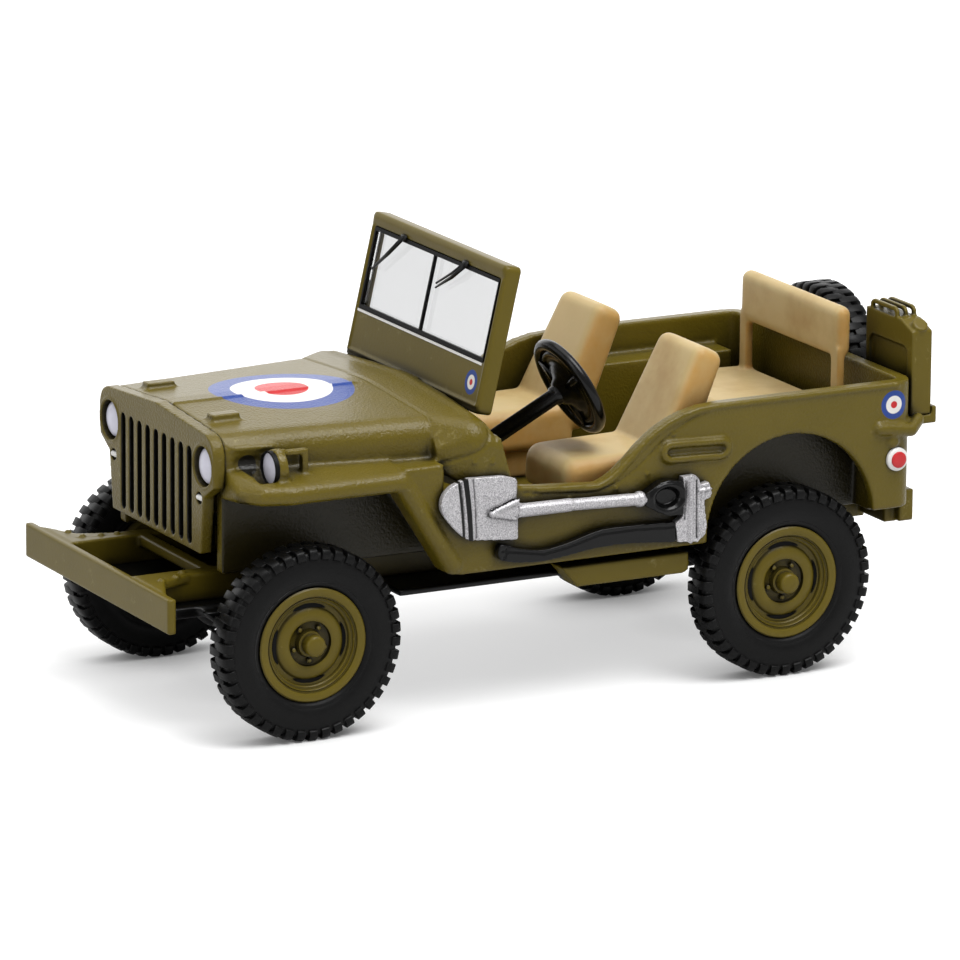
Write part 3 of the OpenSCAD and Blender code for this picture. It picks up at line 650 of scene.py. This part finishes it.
# The body casting.
casting = {
    "nodes": ("tub", "cowl", "hood", "engine_bay", "front_left_fender", "front_right_fender"),
    "voxel": 0.12, "soften": 3, "keep": 0.3,
    # ridge along the hood, its rear seam and the fold of the cowl, in (x, y): line, width and height
    "top": 17.2,
    "topBeads": (([(8.0, 0.7), (19.7, 0.7)], 0.34, 0.1),
                 ([(6.95, -8.6), (6.95, 8.6)], 0.2, -0.1),
                 ([(4.5, -8.8), (4.5, 8.8)], 0.8, 0.1)),
    # groove under the rim, seam of the cowl, catch and opening of the hood, and fold of the fender, in (x, z):
    # line, width, height, how squarely the surface faces outward, and how far out it lies
    "sideBeads": (
        ([(-23.4, 16.86)] + cubic((-11.2, 16.86), (-7.2, 16.75), (-6.2, 12.78), (-2.4, 12.76))
         + [(0.9, 13.1), (1.9, 13.3)], 0.14, -0.08, 0.5, tubSide - 0.9),
        ([(7.14, 15.3), (5.66, 15.81), (4.59, 16.24), (3.92, 17.15), (3.93, 17.95)], 0.22, -0.12, 0.2, 8.8),
        ([(19.3, 17.1), (16.9, 17.05)], 0.4, 0.16, 0.2, 6.2, 9.4),
        ([(17.9, 16.3), (18.9, 16.3)], 0.9, -0.22, 0.4, 6.2, 9.4),
        ([(20.4, 14.62), (18.9, 14.45), (13.4, 14.5), (9.8, 14.45)], 0.3, 0.07, 0.5, 9.4)),
    # small rivets and one large one, in (x, z): centres, radius, height, and how far out they lie
    "sideRivets": (
        ([(5.11, 15.45), (3.99, 15.35), (-8.17, 15.75), (-6.41, 13.5), (-4.34, 12.85), (-1.19, 12.6)],
         0.15, 0.1, 10.2),
        ([(-23.3, 13.6)], 0.42, 0.22, tubSide - 0.9)),
}


def makeCasting():
    onTop = beyond(2, 1, casting["top"])
    reliefs = [beadAlong(*bead, flatXY, upward, within=onTop) for bead in casting["topBeads"]]
    for side in (1, -1):
        out = (0, side, 0)
        for line, width, height, least, *reach in casting["sideBeads"]:
            reliefs.append(beadAlong(line, width, height, flatXZ, out, least, beyond(1, side, *reach)))
        for centres, radius, height, reach in casting["sideRivets"]:
            reliefs.append(rivets(centres, radius, height, flatXZ, out, beyond(1, side, reach)))
    skin = castSkin(copyOf(*casting["nodes"]), casting, reliefs)
    addPiece("bodyCasting", skin, "casting", casting["nodes"])


makeCasting()
print("casting made")


def ring(centre, radius, steps=32):
    return [(centre[0] + radius * math.cos(2 * math.pi * i / steps),
             centre[1] + radius * math.sin(2 * math.pi * i / steps)) for i in range(steps + 1)]


# The grille, with a bead round each headlamp.
grille = {"voxel": 0.08, "soften": 2, "keep": 0.5, "lampY": 6.36, "lampZ": 15.95, "radius": 1.3, "bead": (0.16, 0.07)}
grilleReliefs = [beadAlong(ring((side * grille["lampY"], grille["lampZ"]), grille["radius"]), *grille["bead"],
                           flatYZ, forward) for side in (1, -1)]
grillePanel = castSkin(copyOf("grille"), grille, grilleReliefs)
addPiece("grillePanel", grillePanel, "grilleCasting", ("grille",))

# The frame rails, with rivets on the bumper and on the left step.
rails = {
    "voxel": 0.1, "soften": 2, "keep": 0.5,
    "bumperRivets": ([(23.0, -5.23), (21.89, -5.0), (23.12, 6.0), (22.02, 5.6), (21.3, 4.9), (20.9, -4.9),
                      (23.3, -6.6), (23.3, 7.4)], 0.2, 0.14),
    "bumperTop": 9.0,
    "stepRivets": ([(-1.9, 7.55), (-9.4, 7.6)], 0.14, 0.05),
    "stepSide": 10.3,
}
railReliefs = [rivets(*rails["bumperRivets"], flatXY, upward, beyond(2, 1, rails["bumperTop"])),
               rivets(*rails["stepRivets"], flatXZ, leftward, beyond(1, 1, rails["stepSide"]))]
addPiece("frameRails", castSkin(copyOf("frame"), rails, railReliefs), "oliveAbs", ("frame",))

base = {"voxel": 0.14, "soften": 3, "keep": 0.4}
addPiece("basePlate", castSkin(copyOf("base_plate"), base), "black", ("base_plate",))
print("frame made")

# The windscreen, laid out upright on its foot before it leans back.
screen = {
    "foot": (3.8, 0.0, 18.0), "lean": 12.9, "voxel": 0.09, "soften": 9, "keep": 0.5,
    # beads round the front, in (y, z): line, width and height
    "beads": (([(-8.2, 8.35), (8.2, 8.35)], 0.8, 0.1), ([(-8.3, 0.15), (8.3, 0.15)], 0.25, 0.1),
              ([(-8.35, 0.3), (-8.35, 7.7)], 0.3, 0.07), ([(8.35, 0.3), (8.35, 7.7)], 0.3, 0.07)),
    # a row of small dimples along the top: centres, radius and height
    "dimples": ([(y, 8.25) for y in np.arange(-7.6, 8.0, 2.05)], 0.11, -0.1),
    # corners of the seals above, below, right, left and in the middle, and of the white line under the glass
    "seals": (((-0.2, -8.03, 7.56), (0.035, 8.03, 7.79)), ((-0.2, -8.03, 2.76), (0.035, 8.03, 2.99)),
              ((-0.2, -8.03, 2.99), (0.035, -7.89, 7.56)), ((-0.2, 7.93, 2.99), (0.035, 8.03, 7.56)),
              ((-0.2, -0.34, 2.99), (0.0, -0.2, 7.56))),
    "line": ((-0.1, -8.15, 2.55), (0.03, 7.95, 2.7)),
    # wiper rods from the pivot outward, each as points and radii, the third, just under the right one, being a
    # painted reflection of it in the thick glass; and corners of the two pivots
    "wipers": (([(0.12, -4.2, 7.84), (0.1, -5.6, 6.64), (0.08, -7.3, 5.29)], (0.143, 0.13, 0.078)),
               ([(0.12, 3.75, 7.84), (0.1, 2.4, 6.99), (0.08, 0.78, 6.06)], (0.13, 0.078, 0.065)),
               ([(0.12, 3.7, 7.64), (0.1, 2.5, 6.76), (0.08, 0.8, 5.79)], (0.13, 0.117, 0.0585))),
    "pivots": (((-0.05, -4.48, 7.64), (0.16, -3.92, 7.99)), ((-0.05, 3.47, 7.64), (0.16, 4.03, 7.99))),
}
screenPlace = Matrix.Translation(screen["foot"]) @ turned(-screen["lean"], "Y")


def makeScreen():
    reliefs = [beadAlong(*bead, flatYZ, forward) for bead in screen["beads"]]
    reliefs.append(rivets(*screen["dimples"], flatYZ, forward))
    skin = castSkin(moved(copyOf("windscreen_frame"), screenPlace.inverted()), screen, reliefs)
    skin.transform(screenPlace)
    addPiece("screenFrame", skin, "screenAbs", ("windscreen_frame",))
    seals = joined(*(boxMesh(*corners) for corners in screen["seals"]))
    addPiece("screenSeals", moved(seals, screenPlace), "inkAndShadeBlack", smooth=False)
    line = moved(boxMesh(*screen["line"]), screenPlace)
    addPiece("screenLine", line, "white", smooth=False)
    blades = [rod(*wiper) for wiper in screen["wipers"]] + [boxMesh(*corners) for corners in screen["pivots"]]
    addPiece("wiperArms", moved(joined(*blades), screenPlace), "black", ("wipers",))


makeScreen()
print("windscreen made")

seat = {"voxel": 0.13, "soften": 7, "keep": 0.5}
for node, name in (("driver_seat", "driverSeat"), ("passenger_seat", "passengerSeat"), ("rear_seat", "rearSeat")):
    addPiece(name, castSkin(copyOf(node), seat), "sand", (node,))

# The steering wheel; its axis is Y, pointing down the column, until it is placed.
steering = {
    "hub": (-3.79, 5.9, 18.05), "lean": 27, "radius": 2.9, "tube": 0.35, "spokes": 3,
    # points and radii of a spoke and of the column
    "spoke": (((0, 0.34, 0.7), (0, 0.24, 1.6), (0, 0.1, 2.8)), (0.3, 0.24, 0.2)),
    "column": (((0, 0.4, 0), (0, 1.2, 0), (0, 1.25, 0), (0, 7.7, 0)), (0.62, 0.6, 0.5, 0.5)),
}


def makeSteeringWheel():
    r, t = steering["radius"], steering["tube"]
    around = [(r + t * math.cos(a), t * math.sin(a)) for a in np.linspace(0, 2 * math.pi, 15)[:-1]]
    # half profile of the dished web, column side first
    web = [(0.0, 0.95), (0.55, 0.95), (0.75, 0.85), (0.95, 0.55), (1.25, 0.42), (1.6, 0.3), (1.65, 0.2), (2.2, 0.12),
           (2.25, 0.2), (2.45, 0.2), (2.5, 0.1), (r - 0.1, 0.08), (r - 0.1, -0.12), (2.3, -0.1), (1.0, -0.15),
           (0.9, -0.3), (0.4, -0.36), (0.0, -0.36)]
    parts = [lathe(around, closed=True), lathe(web)]
    spoke = rod(*steering["spoke"], 12)
    for i in range(steering["spokes"]):
        parts.append(moved(spoke, turned(90 + i * 360 / steering["spokes"], "Y")))
    parts.append(rod(*steering["column"], 24))
    place = Matrix.Translation(steering["hub"]) @ turned(90 + steering["lean"], "Y") @ turned(90, "X")
    addPiece("steeringWheel", moved(joined(*parts), place), "blackGloss", ("steering_wheel",))


makeSteeringWheel()
print("inside made")

# The tools on the left side, as outlines in (x, z).
bladeTip = [(5.49, 10.94), (6.15, 11.22), (7.01, 12.1), (7.56, 12.95), (7.5, 13.71), (7.03, 14.24), (6.26, 14.57),
            (5.84, 14.67)]
bladeOutline = [(3.53, 14.59), (2.73, 14.35), (2.56, 14.15), (2.62, 13.03), (2.51, 11.99), (2.47, 10.68),
                (2.7, 10.62)]
socketOutline = [(4.53, 12.45), (2.88, 13.08), (2.16, 12.73), (2.16, 12.02), (2.67, 12.0)]
gripOutline = [(-5.9, 12.5), (-6.89, 13.07), (-7.46, 13.17), (-8.48, 12.99), (-8.5, 10.95), (-7.49, 10.96),
               (-6.81, 11.24), (-5.9, 11.75)]
headOutline = [(-8.5, 13.2), (-9.38, 13.2), (-9.6, 12.97), (-9.73, 12.61), (-10.29, 12.69), (-10.5, 12.04),
               (-10.42, 11.75), (-9.97, 11.6), (-10.1, 10.56), (-10.2, 10.14), (-10.1, 9.54), (-9.56, 9.09),
               (-8.19, 9.24), (-8.02, 10.4), (-8.52, 10.8)]
handleTop = [(3.9, 9.9), (3.69, 10.45), (3.03, 10.3), (2.2, 10.05), (0.81, 9.84), (-0.76, 10.06), (-2.99, 10.6),
             (-5.23, 10.62), (-8.03, 10.5)]
handleLow = [(-8.03, 9.25), (-4.8, 9.54), (-2.55, 9.5), (-0.76, 9.28), (1.02, 9.12), (2.8, 9.28), (3.69, 9.52)]

# The plane behind the tools and how far they sink past it; each tool's beads are line, width and height.
tools = {"y": tubSide + 0.12, "sink": 0.02}
blade = {
    "voxel": 0.065, "soften": 2, "keep": 0.7, "depth": 0.4, "socket": (0.1, 0.62),
    # crown of the blade: height, middle, half its width, and where it starts along x
    "crown": (0.14, 12.7, 2.1, 2.7),
    # shaft in two lengths and its collar: x, depth and z of each point, and the radii
    "shaft": ((((3.4, 0.35, 12.45), (2.2, 0.38, 12.37), (-1.0, 0.36, 12.33)), (0.3, 0.42, 0.4)),
              (((-1.0, 0.36, 12.33), (-5.6, 0.36, 12.15), (-6.0, 0.36, 12.12)), (0.36, 0.38, 0.38)),
              (((-5.45, 0.36, 12.16), (-5.8, 0.36, 12.14)), (0.47, 0.47))),
    "beads": (([(5.92, 14.7), (5.66, 11.0)], 0.4, 0.12), ([(6.3, 14.7), (6.05, 11.0)], 0.14, -0.1),
              ([(5.5, 14.7), (5.28, 11.0)], 0.14, -0.1), ([(4.45, 12.45), (2.75, 13.0)], 0.16, 0.1),
              ([(4.45, 12.45), (2.75, 12.05)], 0.16, 0.1), ([(2.75, 14.2), (2.7, 10.8)], 0.18, 0.07)),
}
grip = {
    "voxel": 0.065, "soften": 5, "keep": 0.8, "depth": 0.72,
    # the finger hole: centre, radii, depth and the lip round it
    "hollow": ((-7.4, 12.1), (0.85, 0.62), -0.4, 0.12),
}
head = {
    "voxel": 0.065, "soften": 2, "keep": 0.8, "depth": 0.52,
    "beads": (([(-9.0, 13.2), (-9.05, 9.2)], 0.3, 0.16), ([(-9.45, 12.9), (-9.5, 9.4)], 0.14, -0.14),
              ([(-8.7, 12.9), (-8.65, 10.6)], 0.14, -0.1), ([(-9.9, 12.3), (-9.75, 9.8)], 0.2, 0.1),
              ([(-9.6, 12.25), (-10.4, 12.3)], 0.2, 0.12)),
}
handle = {
    "voxel": 0.065, "soften": 6, "keep": 0.8, "depth": 0.52,
    "beads": (([(3.6, 10.1), (0.81, 9.62), (-0.76, 9.84), (-2.99, 10.38), (-5.23, 10.4), (-8.0, 10.25)], 0.16, -0.08),
              ([(3.2, 10.3), (3.5, 9.5)], 0.16, -0.1)),
}


# A smooth curve through the points.
def smoothed(points, steps=5):
    spread = [np.array(p, float) for p in [points[0]] + list(points) + [points[-1]]]
    curve = []
    for a, b, c, d in zip(spread, spread[1:], spread[2:], spread[3:]):
        for t in np.linspace(0, 1, steps, endpoint=False):
            curve.append(tuple(b + 0.5 * ((c - a) * t + (2 * a - 5 * b + 4 * c - d) * t ** 2
                                          + (3 * b - a - 3 * c + d) * t ** 3)))
    return curve + [tuple(points[-1])]


def ovalHollow(centre, radii, depth, lip):
    def relief(points, normals):
        e = np.hypot((points[:, 0] - centre[0]) / radii[0], (points[:, 2] - centre[1]) / radii[1])
        inside = depth * (1 - softStep(e, 0.7, 1.05)) + lip * np.exp(-((e - 1.3) / 0.18) ** 2)
        return inside * (normals[:, 1] > 0.4)
    return relief


def crowned(height, middle, half, start):
    def relief(points, normals):
        rise = height * np.clip(1 - ((points[:, 2] - middle) / half) ** 2, 0, 1)
        return rise * (normals[:, 1] > 0.4) * (points[:, 0] > start)
    return relief


def flatTool(outline, tool):
    return prism(outline, flatXZ, tools["y"] - tools["sink"], tools["y"] + tool["depth"])


def beadsOf(tool):
    return [beadAlong(*bead, flatXZ, leftward) for bead in tool["beads"]]


def makeTools():
    y = tools["y"]
    shovel = [flatTool(smoothed(bladeTip) + bladeOutline, blade),
              prism(socketOutline, flatXZ, *(y + depth for depth in blade["socket"]))]
    for path, radii in blade["shaft"]:
        shovel.append(rod([(x, y + depth, z) for x, depth, z in path], radii, 24))
    bladeSkin = castSkin(joined(*shovel), blade, [crowned(*blade["crown"])] + beadsOf(blade))
    addPiece("shovelBlade", bladeSkin, "shovelSilver", ("shovel",))
    gripSkin = castSkin(flatTool(gripOutline, grip), grip, [ovalHollow(*grip["hollow"])])
    addPiece("shovelGrip", gripSkin, "blackGloss", ("shovel_grip",))
    headSkin = castSkin(flatTool(headOutline, head), head, beadsOf(head))
    addPiece("axeHead", headSkin, "silver", ("axe_head",))
    handleSkin = castSkin(flatTool(smoothed(handleTop) + smoothed(handleLow), handle), handle, beadsOf(handle))
    addPiece("axeHandle", handleSkin, "blackGloss", ("axe_handle",))


makeTools()
print("tools made")

rearLoad = {"voxel": 0.085, "soften": 3, "keep": 0.6}
for node, name in (("petrol_can", "petrolCan"), ("can_rack", "canRack"), ("spare_wheel", "spareWheel")):
    addPiece(name, castSkin(copyOf(node), rearLoad), "oliveAbs", (node,))

# Tail lamps: half profiles of the ring and of the lens in it, as (radius, depth) from the tub's side.
tailLamp = {
    "x": -23.58, "z": 12.5,
    "ring": [(0.0, -0.05), (0.72, -0.05), (0.72, 0.14), (0.68, 0.2), (0.52, 0.28), (0.0, 0.28)],
    "lens": [(0.0, 0.2), (0.5, 0.2), (0.5, 0.34), (0.46, 0.38), (0.3, 0.395), (0.0, 0.4)],
}


def makeTailLamps():
    for side, label in ((1, "Left"), (-1, "Right")):
        flip = turned(0 if side > 0 else 180, "Z")
        place = Matrix.Translation((tailLamp["x"], side * tubSide, tailLamp["z"])) @ flip
        replaced = ("tail_lamps",) if side > 0 else ()
        addPiece("tailRing" + label, moved(lathe(tailLamp["ring"], 48), place), "white", replaced)
        addPiece("tailLens" + label, moved(lathe(tailLamp["lens"], 48), place), "red")


makeTailLamps()
print("rear made")

# Wheels and tyres are made once and placed five times. Radii and widths are in mm.
tyre = {
    "outer": frontAxle.z, "carcass": frontAxle.z - 0.26, "width": 2.3, "bead": 3.3, "lugs": 42, "lugWidth": 0.53,
    "lugRound": 0.13, "lugRoundSteps": 3, "lugCorner": 0.6,
    # sidewall as (radius beyond the bead, y from the face), and shoulder with the radius from the carcass
    "sidewall": ((0, -0.4), (0.15, -0.3), (0.3, -0.16), (0.42, -0.1), (0.5, -0.14), (0.62, -0.06), (0.9, -0.01),
                 (1.2, -0.01), (1.55, -0.08)),
    "shoulder": ((-0.2, -0.16), (-0.04, -0.28), (0.02, -0.5)),
}


def tyreMesh():
    half = tyre["width"] / 2
    r0, r1, r2 = tyre["bead"], tyre["carcass"], tyre["outer"]
    profile = [(r0 + r, half + y) for r, y in tyre["sidewall"]] + [(r1 + r, half + y) for r, y in tyre["shoulder"]]
    parts = [lathe(profile + [(r, -y) for r, y in reversed(profile)], 176, closed=True)]
    step = 2 * math.pi / tyre["lugs"]
    w = tyre["lugWidth"] / 2
    # outline of a lug in (y, radius): from past the middle, over the shoulder, down the sidewall
    outline = [(-0.3, r1 - 0.15), (-0.3, r2 - 0.05), (0.3, r2), (half - 0.3, r2 - 0.01), (half - 0.1, r2 - 0.12),
               (half, r2 - 0.32), (half - 0.02, r2 - 0.62), (half - 0.2, r2 - 0.72), (half - 0.5, r1 - 0.15)]
    for side in (1, -1):
        slab = prism([(y * side, r) for y, r in outline], flatYZ, -w, w)
        # the lugs of one side stand between those of the other
        offset = step / 2 if side < 0 else 0
        for i in range(tyre["lugs"]):
            parts.append(moved(slab, Matrix.Rotation(i * step + offset, 4, "Y")))
    return modified(joined(*parts), ("BEVEL", {"width": tyre["lugRound"], "segments": tyre["lugRoundSteps"],
                                               "limit_method": "ANGLE", "angle_limit": tyre["lugCorner"]}))


wheel = {
    "bolts": 5, "boltCircle": 1.04, "crease": 38,
    # the back, as (radius, y from the back face)
    "back": ((0, 0.35), (1.0, 0.35), (1.3, 0.2), (2.8, 0.2), (3.0, 0.15), (3.3, 0.35)),
    # rim lip, three fine steps and gutter, as (radius beyond the bead, y from the front face)
    "rim": ((0, -0.4), (0.12, -0.3), (0.13, -0.2), (0.05, -0.13), (-0.15, -0.12), (-0.38, -0.2), (-0.41, -0.32),
            (-0.47, -0.34), (-0.53, -0.3), (-0.57, -0.34), (-0.6, -0.46), (-0.66, -0.48), (-0.72, -0.46),
            (-0.77, -0.5), (-0.82, -0.68)),
    # domed disc, bolt recess and hub cap, and half profile of a bolt, as (radius, y from the front face)
    "disc": ((2.38, -0.74), (2.2, -0.74), (2.12, -0.66), (2.06, -0.6), (1.75, -0.52), (1.45, -0.5), (1.36, -0.54),
             (1.32, -0.78), (1.2, -0.84), (0.86, -0.84), (0.8, -0.76), (0.76, -0.5), (0.62, -0.46), (0.6, 0.02),
             (0.63, 0.06), (0.62, 0.2), (0.54, 0.3), (0.4, 0.34), (0, 0.35)),
    "bolt": ((0, -0.6), (0.1, -0.61), (0.15, -0.66), (0.16, -0.9), (0, -0.9)),
}


def wheelMesh():
    h = tyre["width"] / 2
    profile = [(radius, y - h) for radius, y in wheel["back"]]
    profile += [(tyre["bead"] + over, h + y) for over, y in wheel["rim"]]
    parts = [lathe(profile + [(radius, h + y) for radius, y in wheel["disc"]], 128)]
    bolt = lathe([(radius, h + y) for radius, y in wheel["bolt"]], 12)
    for i in range(wheel["bolts"]):
        a = 2 * math.pi * (i + 0.5) / wheel["bolts"]
        spot = (wheel["boltCircle"] * math.sin(a), 0, wheel["boltCircle"] * math.cos(a))
        parts.append(moved(bolt, Matrix.Translation(spot)))
    return joined(*parts)


# Four dark crescent sheets between disc and rim, painted shade for the depths of the wheel's slots; span and turn are
# in degrees.
slotShade = {"radius": 2.28, "half": 0.12, "depth": 0.72, "tilt": 0.05, "span": 54, "turn": -27, "steps": 14}


def slotShadeMesh():
    y = tyre["width"] / 2 - slotShade["depth"]
    points, faces = [], []
    for quarter in range(4):
        start = len(points)
        for i in range(slotShade["steps"] + 1):
            along = i / slotShade["steps"]
            a = math.radians(quarter * 90 + slotShade["turn"] + slotShade["span"] * along)
            half = slotShade["half"] * math.sin(math.pi * along) ** 0.5
            for r, lift in ((slotShade["radius"] - half, slotShade["tilt"]), (slotShade["radius"] + half, 0.0)):
                points.append((r * math.sin(a), y + lift, r * math.cos(a)))
        faces += [(start + 2 * i, start + 2 * i + 1, start + 2 * i + 3, start + 2 * i + 2)
                  for i in range(slotShade["steps"])]
    return meshFrom(points, faces)


def placeWheel(label, node, side, body):
    place = Matrix.Translation(centreOf(node + "_tyre")) @ turned(0 if side > 0 else 180, "Z")
    addPiece(label + "Tyre", moved(sharedTyre, place), "rubber", (node + "_tyre",), body)
    addPiece(label + "Wheel", moved(sharedWheel, place), "oliveAbs", (node + "_wheel",), body,
             crease=wheel["crease"])
    # painted shade: dark sheets in the wheel's slots
    addPiece(label + "SlotShades", moved(sharedSlotShades, place), "inkAndShadeBlack", body=body)


sharedTyre, sharedWheel, sharedSlotShades = tyreMesh(), wheelMesh(), slotShadeMesh()
for axle in ("front", "rear"):
    for side, hand in ((1, "left"), (-1, "right")):
        placeWheel(axle + hand.capitalize(), axle + "_" + hand, side, axle + "_axle_set")
sparePlace = Matrix.Translation(centreOf("spare_tyre")) @ turned(90, "Z")
addPiece("spareTyre", moved(sharedTyre, sparePlace), "rubber", ("spare_tyre",))
print("wheels made")

# Front lamps, turned from lathes round Y to face forward.
frontLamps = {
    "bulge": 0.42, "lensRadius": 1.08, "lensInset": 1.15, "lensBack": -0.25, "lensSteps": 40,
    "markerLength": 0.8, "markerRadius": 0.17, "markerInset": 0.33, "markerDepth": 0.12, "markerTip": 0.08,
    # section of the ring round the blackout lamp, as (radius beyond the lamp, depth)
    "blackout": ((-0.02, -0.2), (0.09, -0.2), (0.09, 0.1), (-0.02, 0.1)),
}
faceForward = turned(-90, "Z")


def headlampMesh(spot):
    radius, bulge = frontLamps["lensRadius"], frontLamps["bulge"] - 0.02
    dome = [(radius * math.cos(a), bulge * math.sin(a)) for a in np.linspace(0, math.pi / 2, 10)[:-1]]
    back = frontLamps["lensBack"]
    lens = lathe([(0.0, back), (radius, back)] + dome + [(0.0, bulge)], frontLamps["lensSteps"])
    return moved(lens, Matrix.Translation(spot) @ faceForward)


def markerMesh(x, y, z):
    reach, radius, tip = frontLamps["markerLength"] / 2, frontLamps["markerRadius"], frontLamps["markerTip"]
    return rod([(x, y - reach, z), (x, y - reach + 0.1, z), (x, y + reach - 0.1, z), (x, y + reach, z)],
               [tip, radius, radius, tip])


def makeFrontLamps():
    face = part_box("grille")[1].x / mm - midX
    lenses, markers = [], []
    for side in (1, -1):
        across = side * (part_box("headlamps")[1].y / mm - frontLamps["lensInset"])
        lenses.append(headlampMesh((face - frontLamps["bulge"], across, centreOf("headlamps").z)))
        across = side * (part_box("marker_lamps")[1].y / mm - frontLamps["markerInset"])
        markers.append(markerMesh(face - frontLamps["markerDepth"], across, centreOf("marker_lamps").z))
    addPiece("headlampLenses", joined(*lenses), "lens", ("headlamps",))
    addPiece("markerBars", joined(*markers), "white", ("marker_lamps",))


def makeBlackoutRing():
    low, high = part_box("blackout_lamp")
    radius = (high.y - low.y) / mm / 2
    ringMesh = lathe([(radius + over, depth) for over, depth in frontLamps["blackout"]], 48, closed=True)
    place = Matrix.Translation(centreOf("blackout_lamp")) @ faceForward
    addPiece("blackoutRing", moved(ringMesh, place), "inkAndShadeBlack", crease=wheel["crease"])


makeFrontLamps()
makeBlackoutRing()
print("front lamps made")

# CAD pieces that keep their shape get only a material.
for node, material in (("radiator", "inkAndShadeBlack"), ("base_rivets", "steel"), ("windscreen_glass", "clear"),
                       ("blackout_lamp", "lens"), ("front_axle", "steel"), ("rear_axle", "steel")):
    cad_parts[node].material_slots[0].material = paint[material]

# Floor and lamps; the floor fades to white over a span of distances in mm.
studio = {
    "floorSize": 3.0, "paper": 0.6, "glow": 0.56, "fade": (60, 400), "fill": 0.42, "aim": (0.0, 0.0, 0.01),
    # painted contact shadow, soft and dark under the car, cut out of the glow: reach, two bounds of openness, and the
    # share of the glow left in it
    "contactShadow": (5.0, 0.3, 0.95), "contactShadowGlow": 0.1,
    # place, width, depth and power of each lamp
    "key": ((-0.1, 0.2, 0.44), 0.3, 0.3, 1.9),
    "top": ((0.02, -0.05, 0.5), 0.5, 0.5, 1.2),
    "back": ((-0.12, -0.5, 0.16), 0.9, 0.36, 1.3),
    "front": ((0.45, 0.15, 0.25), 0.3, 0.3, 0.5),
}


# White to the eye, and dimmer as a light.
def makeWorld():
    world = bpy.data.worlds.new("studio")
    bpy.context.scene.world = world
    world.use_nodes = True
    tree = world.node_tree
    tree.nodes.clear()
    path = put(tree, "ShaderNodeLightPath").outputs
    seen = maths(tree, "MAXIMUM", path["Is Camera Ray"], path["Is Transmission Ray"])
    strength = ramp(tree, seen, 0.0, 1.0, studio["fill"], 1.0)
    back = put(tree, "ShaderNodeBackground", inputs={"Color": (1, 1, 1, 1), "Strength": strength})
    put(tree, "ShaderNodeOutputWorld", inputs={"Surface": back.outputs[0]})


# White paper, a little brighter to the eye than the light it gives back, so its shadows stay pale.
def makeFloor():
    half = studio["floorSize"] / 2
    floorMesh = meshFrom([(-half, -half, 0), (half, -half, 0), (half, half, 0), (-half, half, 0)], [(0, 1, 2, 3)])
    floor = newObject("floor", floorMesh)
    tone = studio["paper"]
    material, tree, shader = newMaterial("paper", {"Roughness": 0.9, "Base Color": (tone, tone, tone, 1),
                                                   "Specular IOR Level": 0.1, "Emission Color": (1, 1, 1, 1)})
    seen = put(tree, "ShaderNodeLightPath").outputs["Is Camera Ray"]
    away = vectorMaths(tree, "LENGTH", inMillimetres(tree))
    glow = ramp(tree, away, *studio["fade"], studio["glow"], 1.0)
    # painted contact shadow: the glow is cut where the floor lies in the hollow under the car
    clear = ramp(tree, hollowness(tree, *studio["contactShadow"]), 0.0, 1.0, 1.0, studio["contactShadowGlow"])
    tree.links.new(times(tree, seen, clear, glow), shader.inputs["Emission Strength"])
    floorMesh.materials.append(material)


# Turns a lamp or the camera to look along a direction.
def aim(holder, direction):
    holder.rotation_mode = "QUATERNION"
    holder.rotation_quaternion = direction.to_track_quat("-Z", "Y")


def makeLights():
    for label in ("key", "top", "back", "front"):
        spot, width, depth, power = studio[label]
        lamp = bpy.data.lights.new(label, "AREA")
        lamp.shape, lamp.size, lamp.size_y, lamp.energy = "RECTANGLE", width, depth, power
        holder = newObject(label, lamp)
        holder.location = spot
        aim(holder, Vector(studio["aim"]) - Vector(spot))
        holder.visible_camera = False
        holder.visible_transmission = False


# Angles in degrees; distance, target and lens in mm.
view = {"azimuth": 27.841, "elevation": 14.287, "roll": 0.391, "distance": 461.8, "lens": 287.79, "sensor": 36,
        "target": (-0.918, 0.0, 11.265), "clip": (0.01, 10)}


def makeCamera():
    a, e = math.radians(view["azimuth"]), math.radians(view["elevation"])
    away = Vector((math.sin(a) * math.cos(e), math.cos(a) * math.cos(e), math.sin(e)))
    camera = bpy.data.cameras.new("camera")
    camera.lens, camera.sensor_width = view["lens"], view["sensor"]
    camera.clip_start, camera.clip_end = view["clip"]
    holder = newObject("camera", camera)
    aim(holder, -away)
    holder.rotation_quaternion @= turned(view["roll"], "Z").to_quaternion()
    holder.location = toFrame @ Vector(view["target"]) + away * view["distance"] * mm
    bpy.context.scene.camera = holder


makeWorld()
makeFloor()
makeLights()
makeCamera()
bpy.context.scene.view_settings.view_transform = "Standard"
print("studio ready")
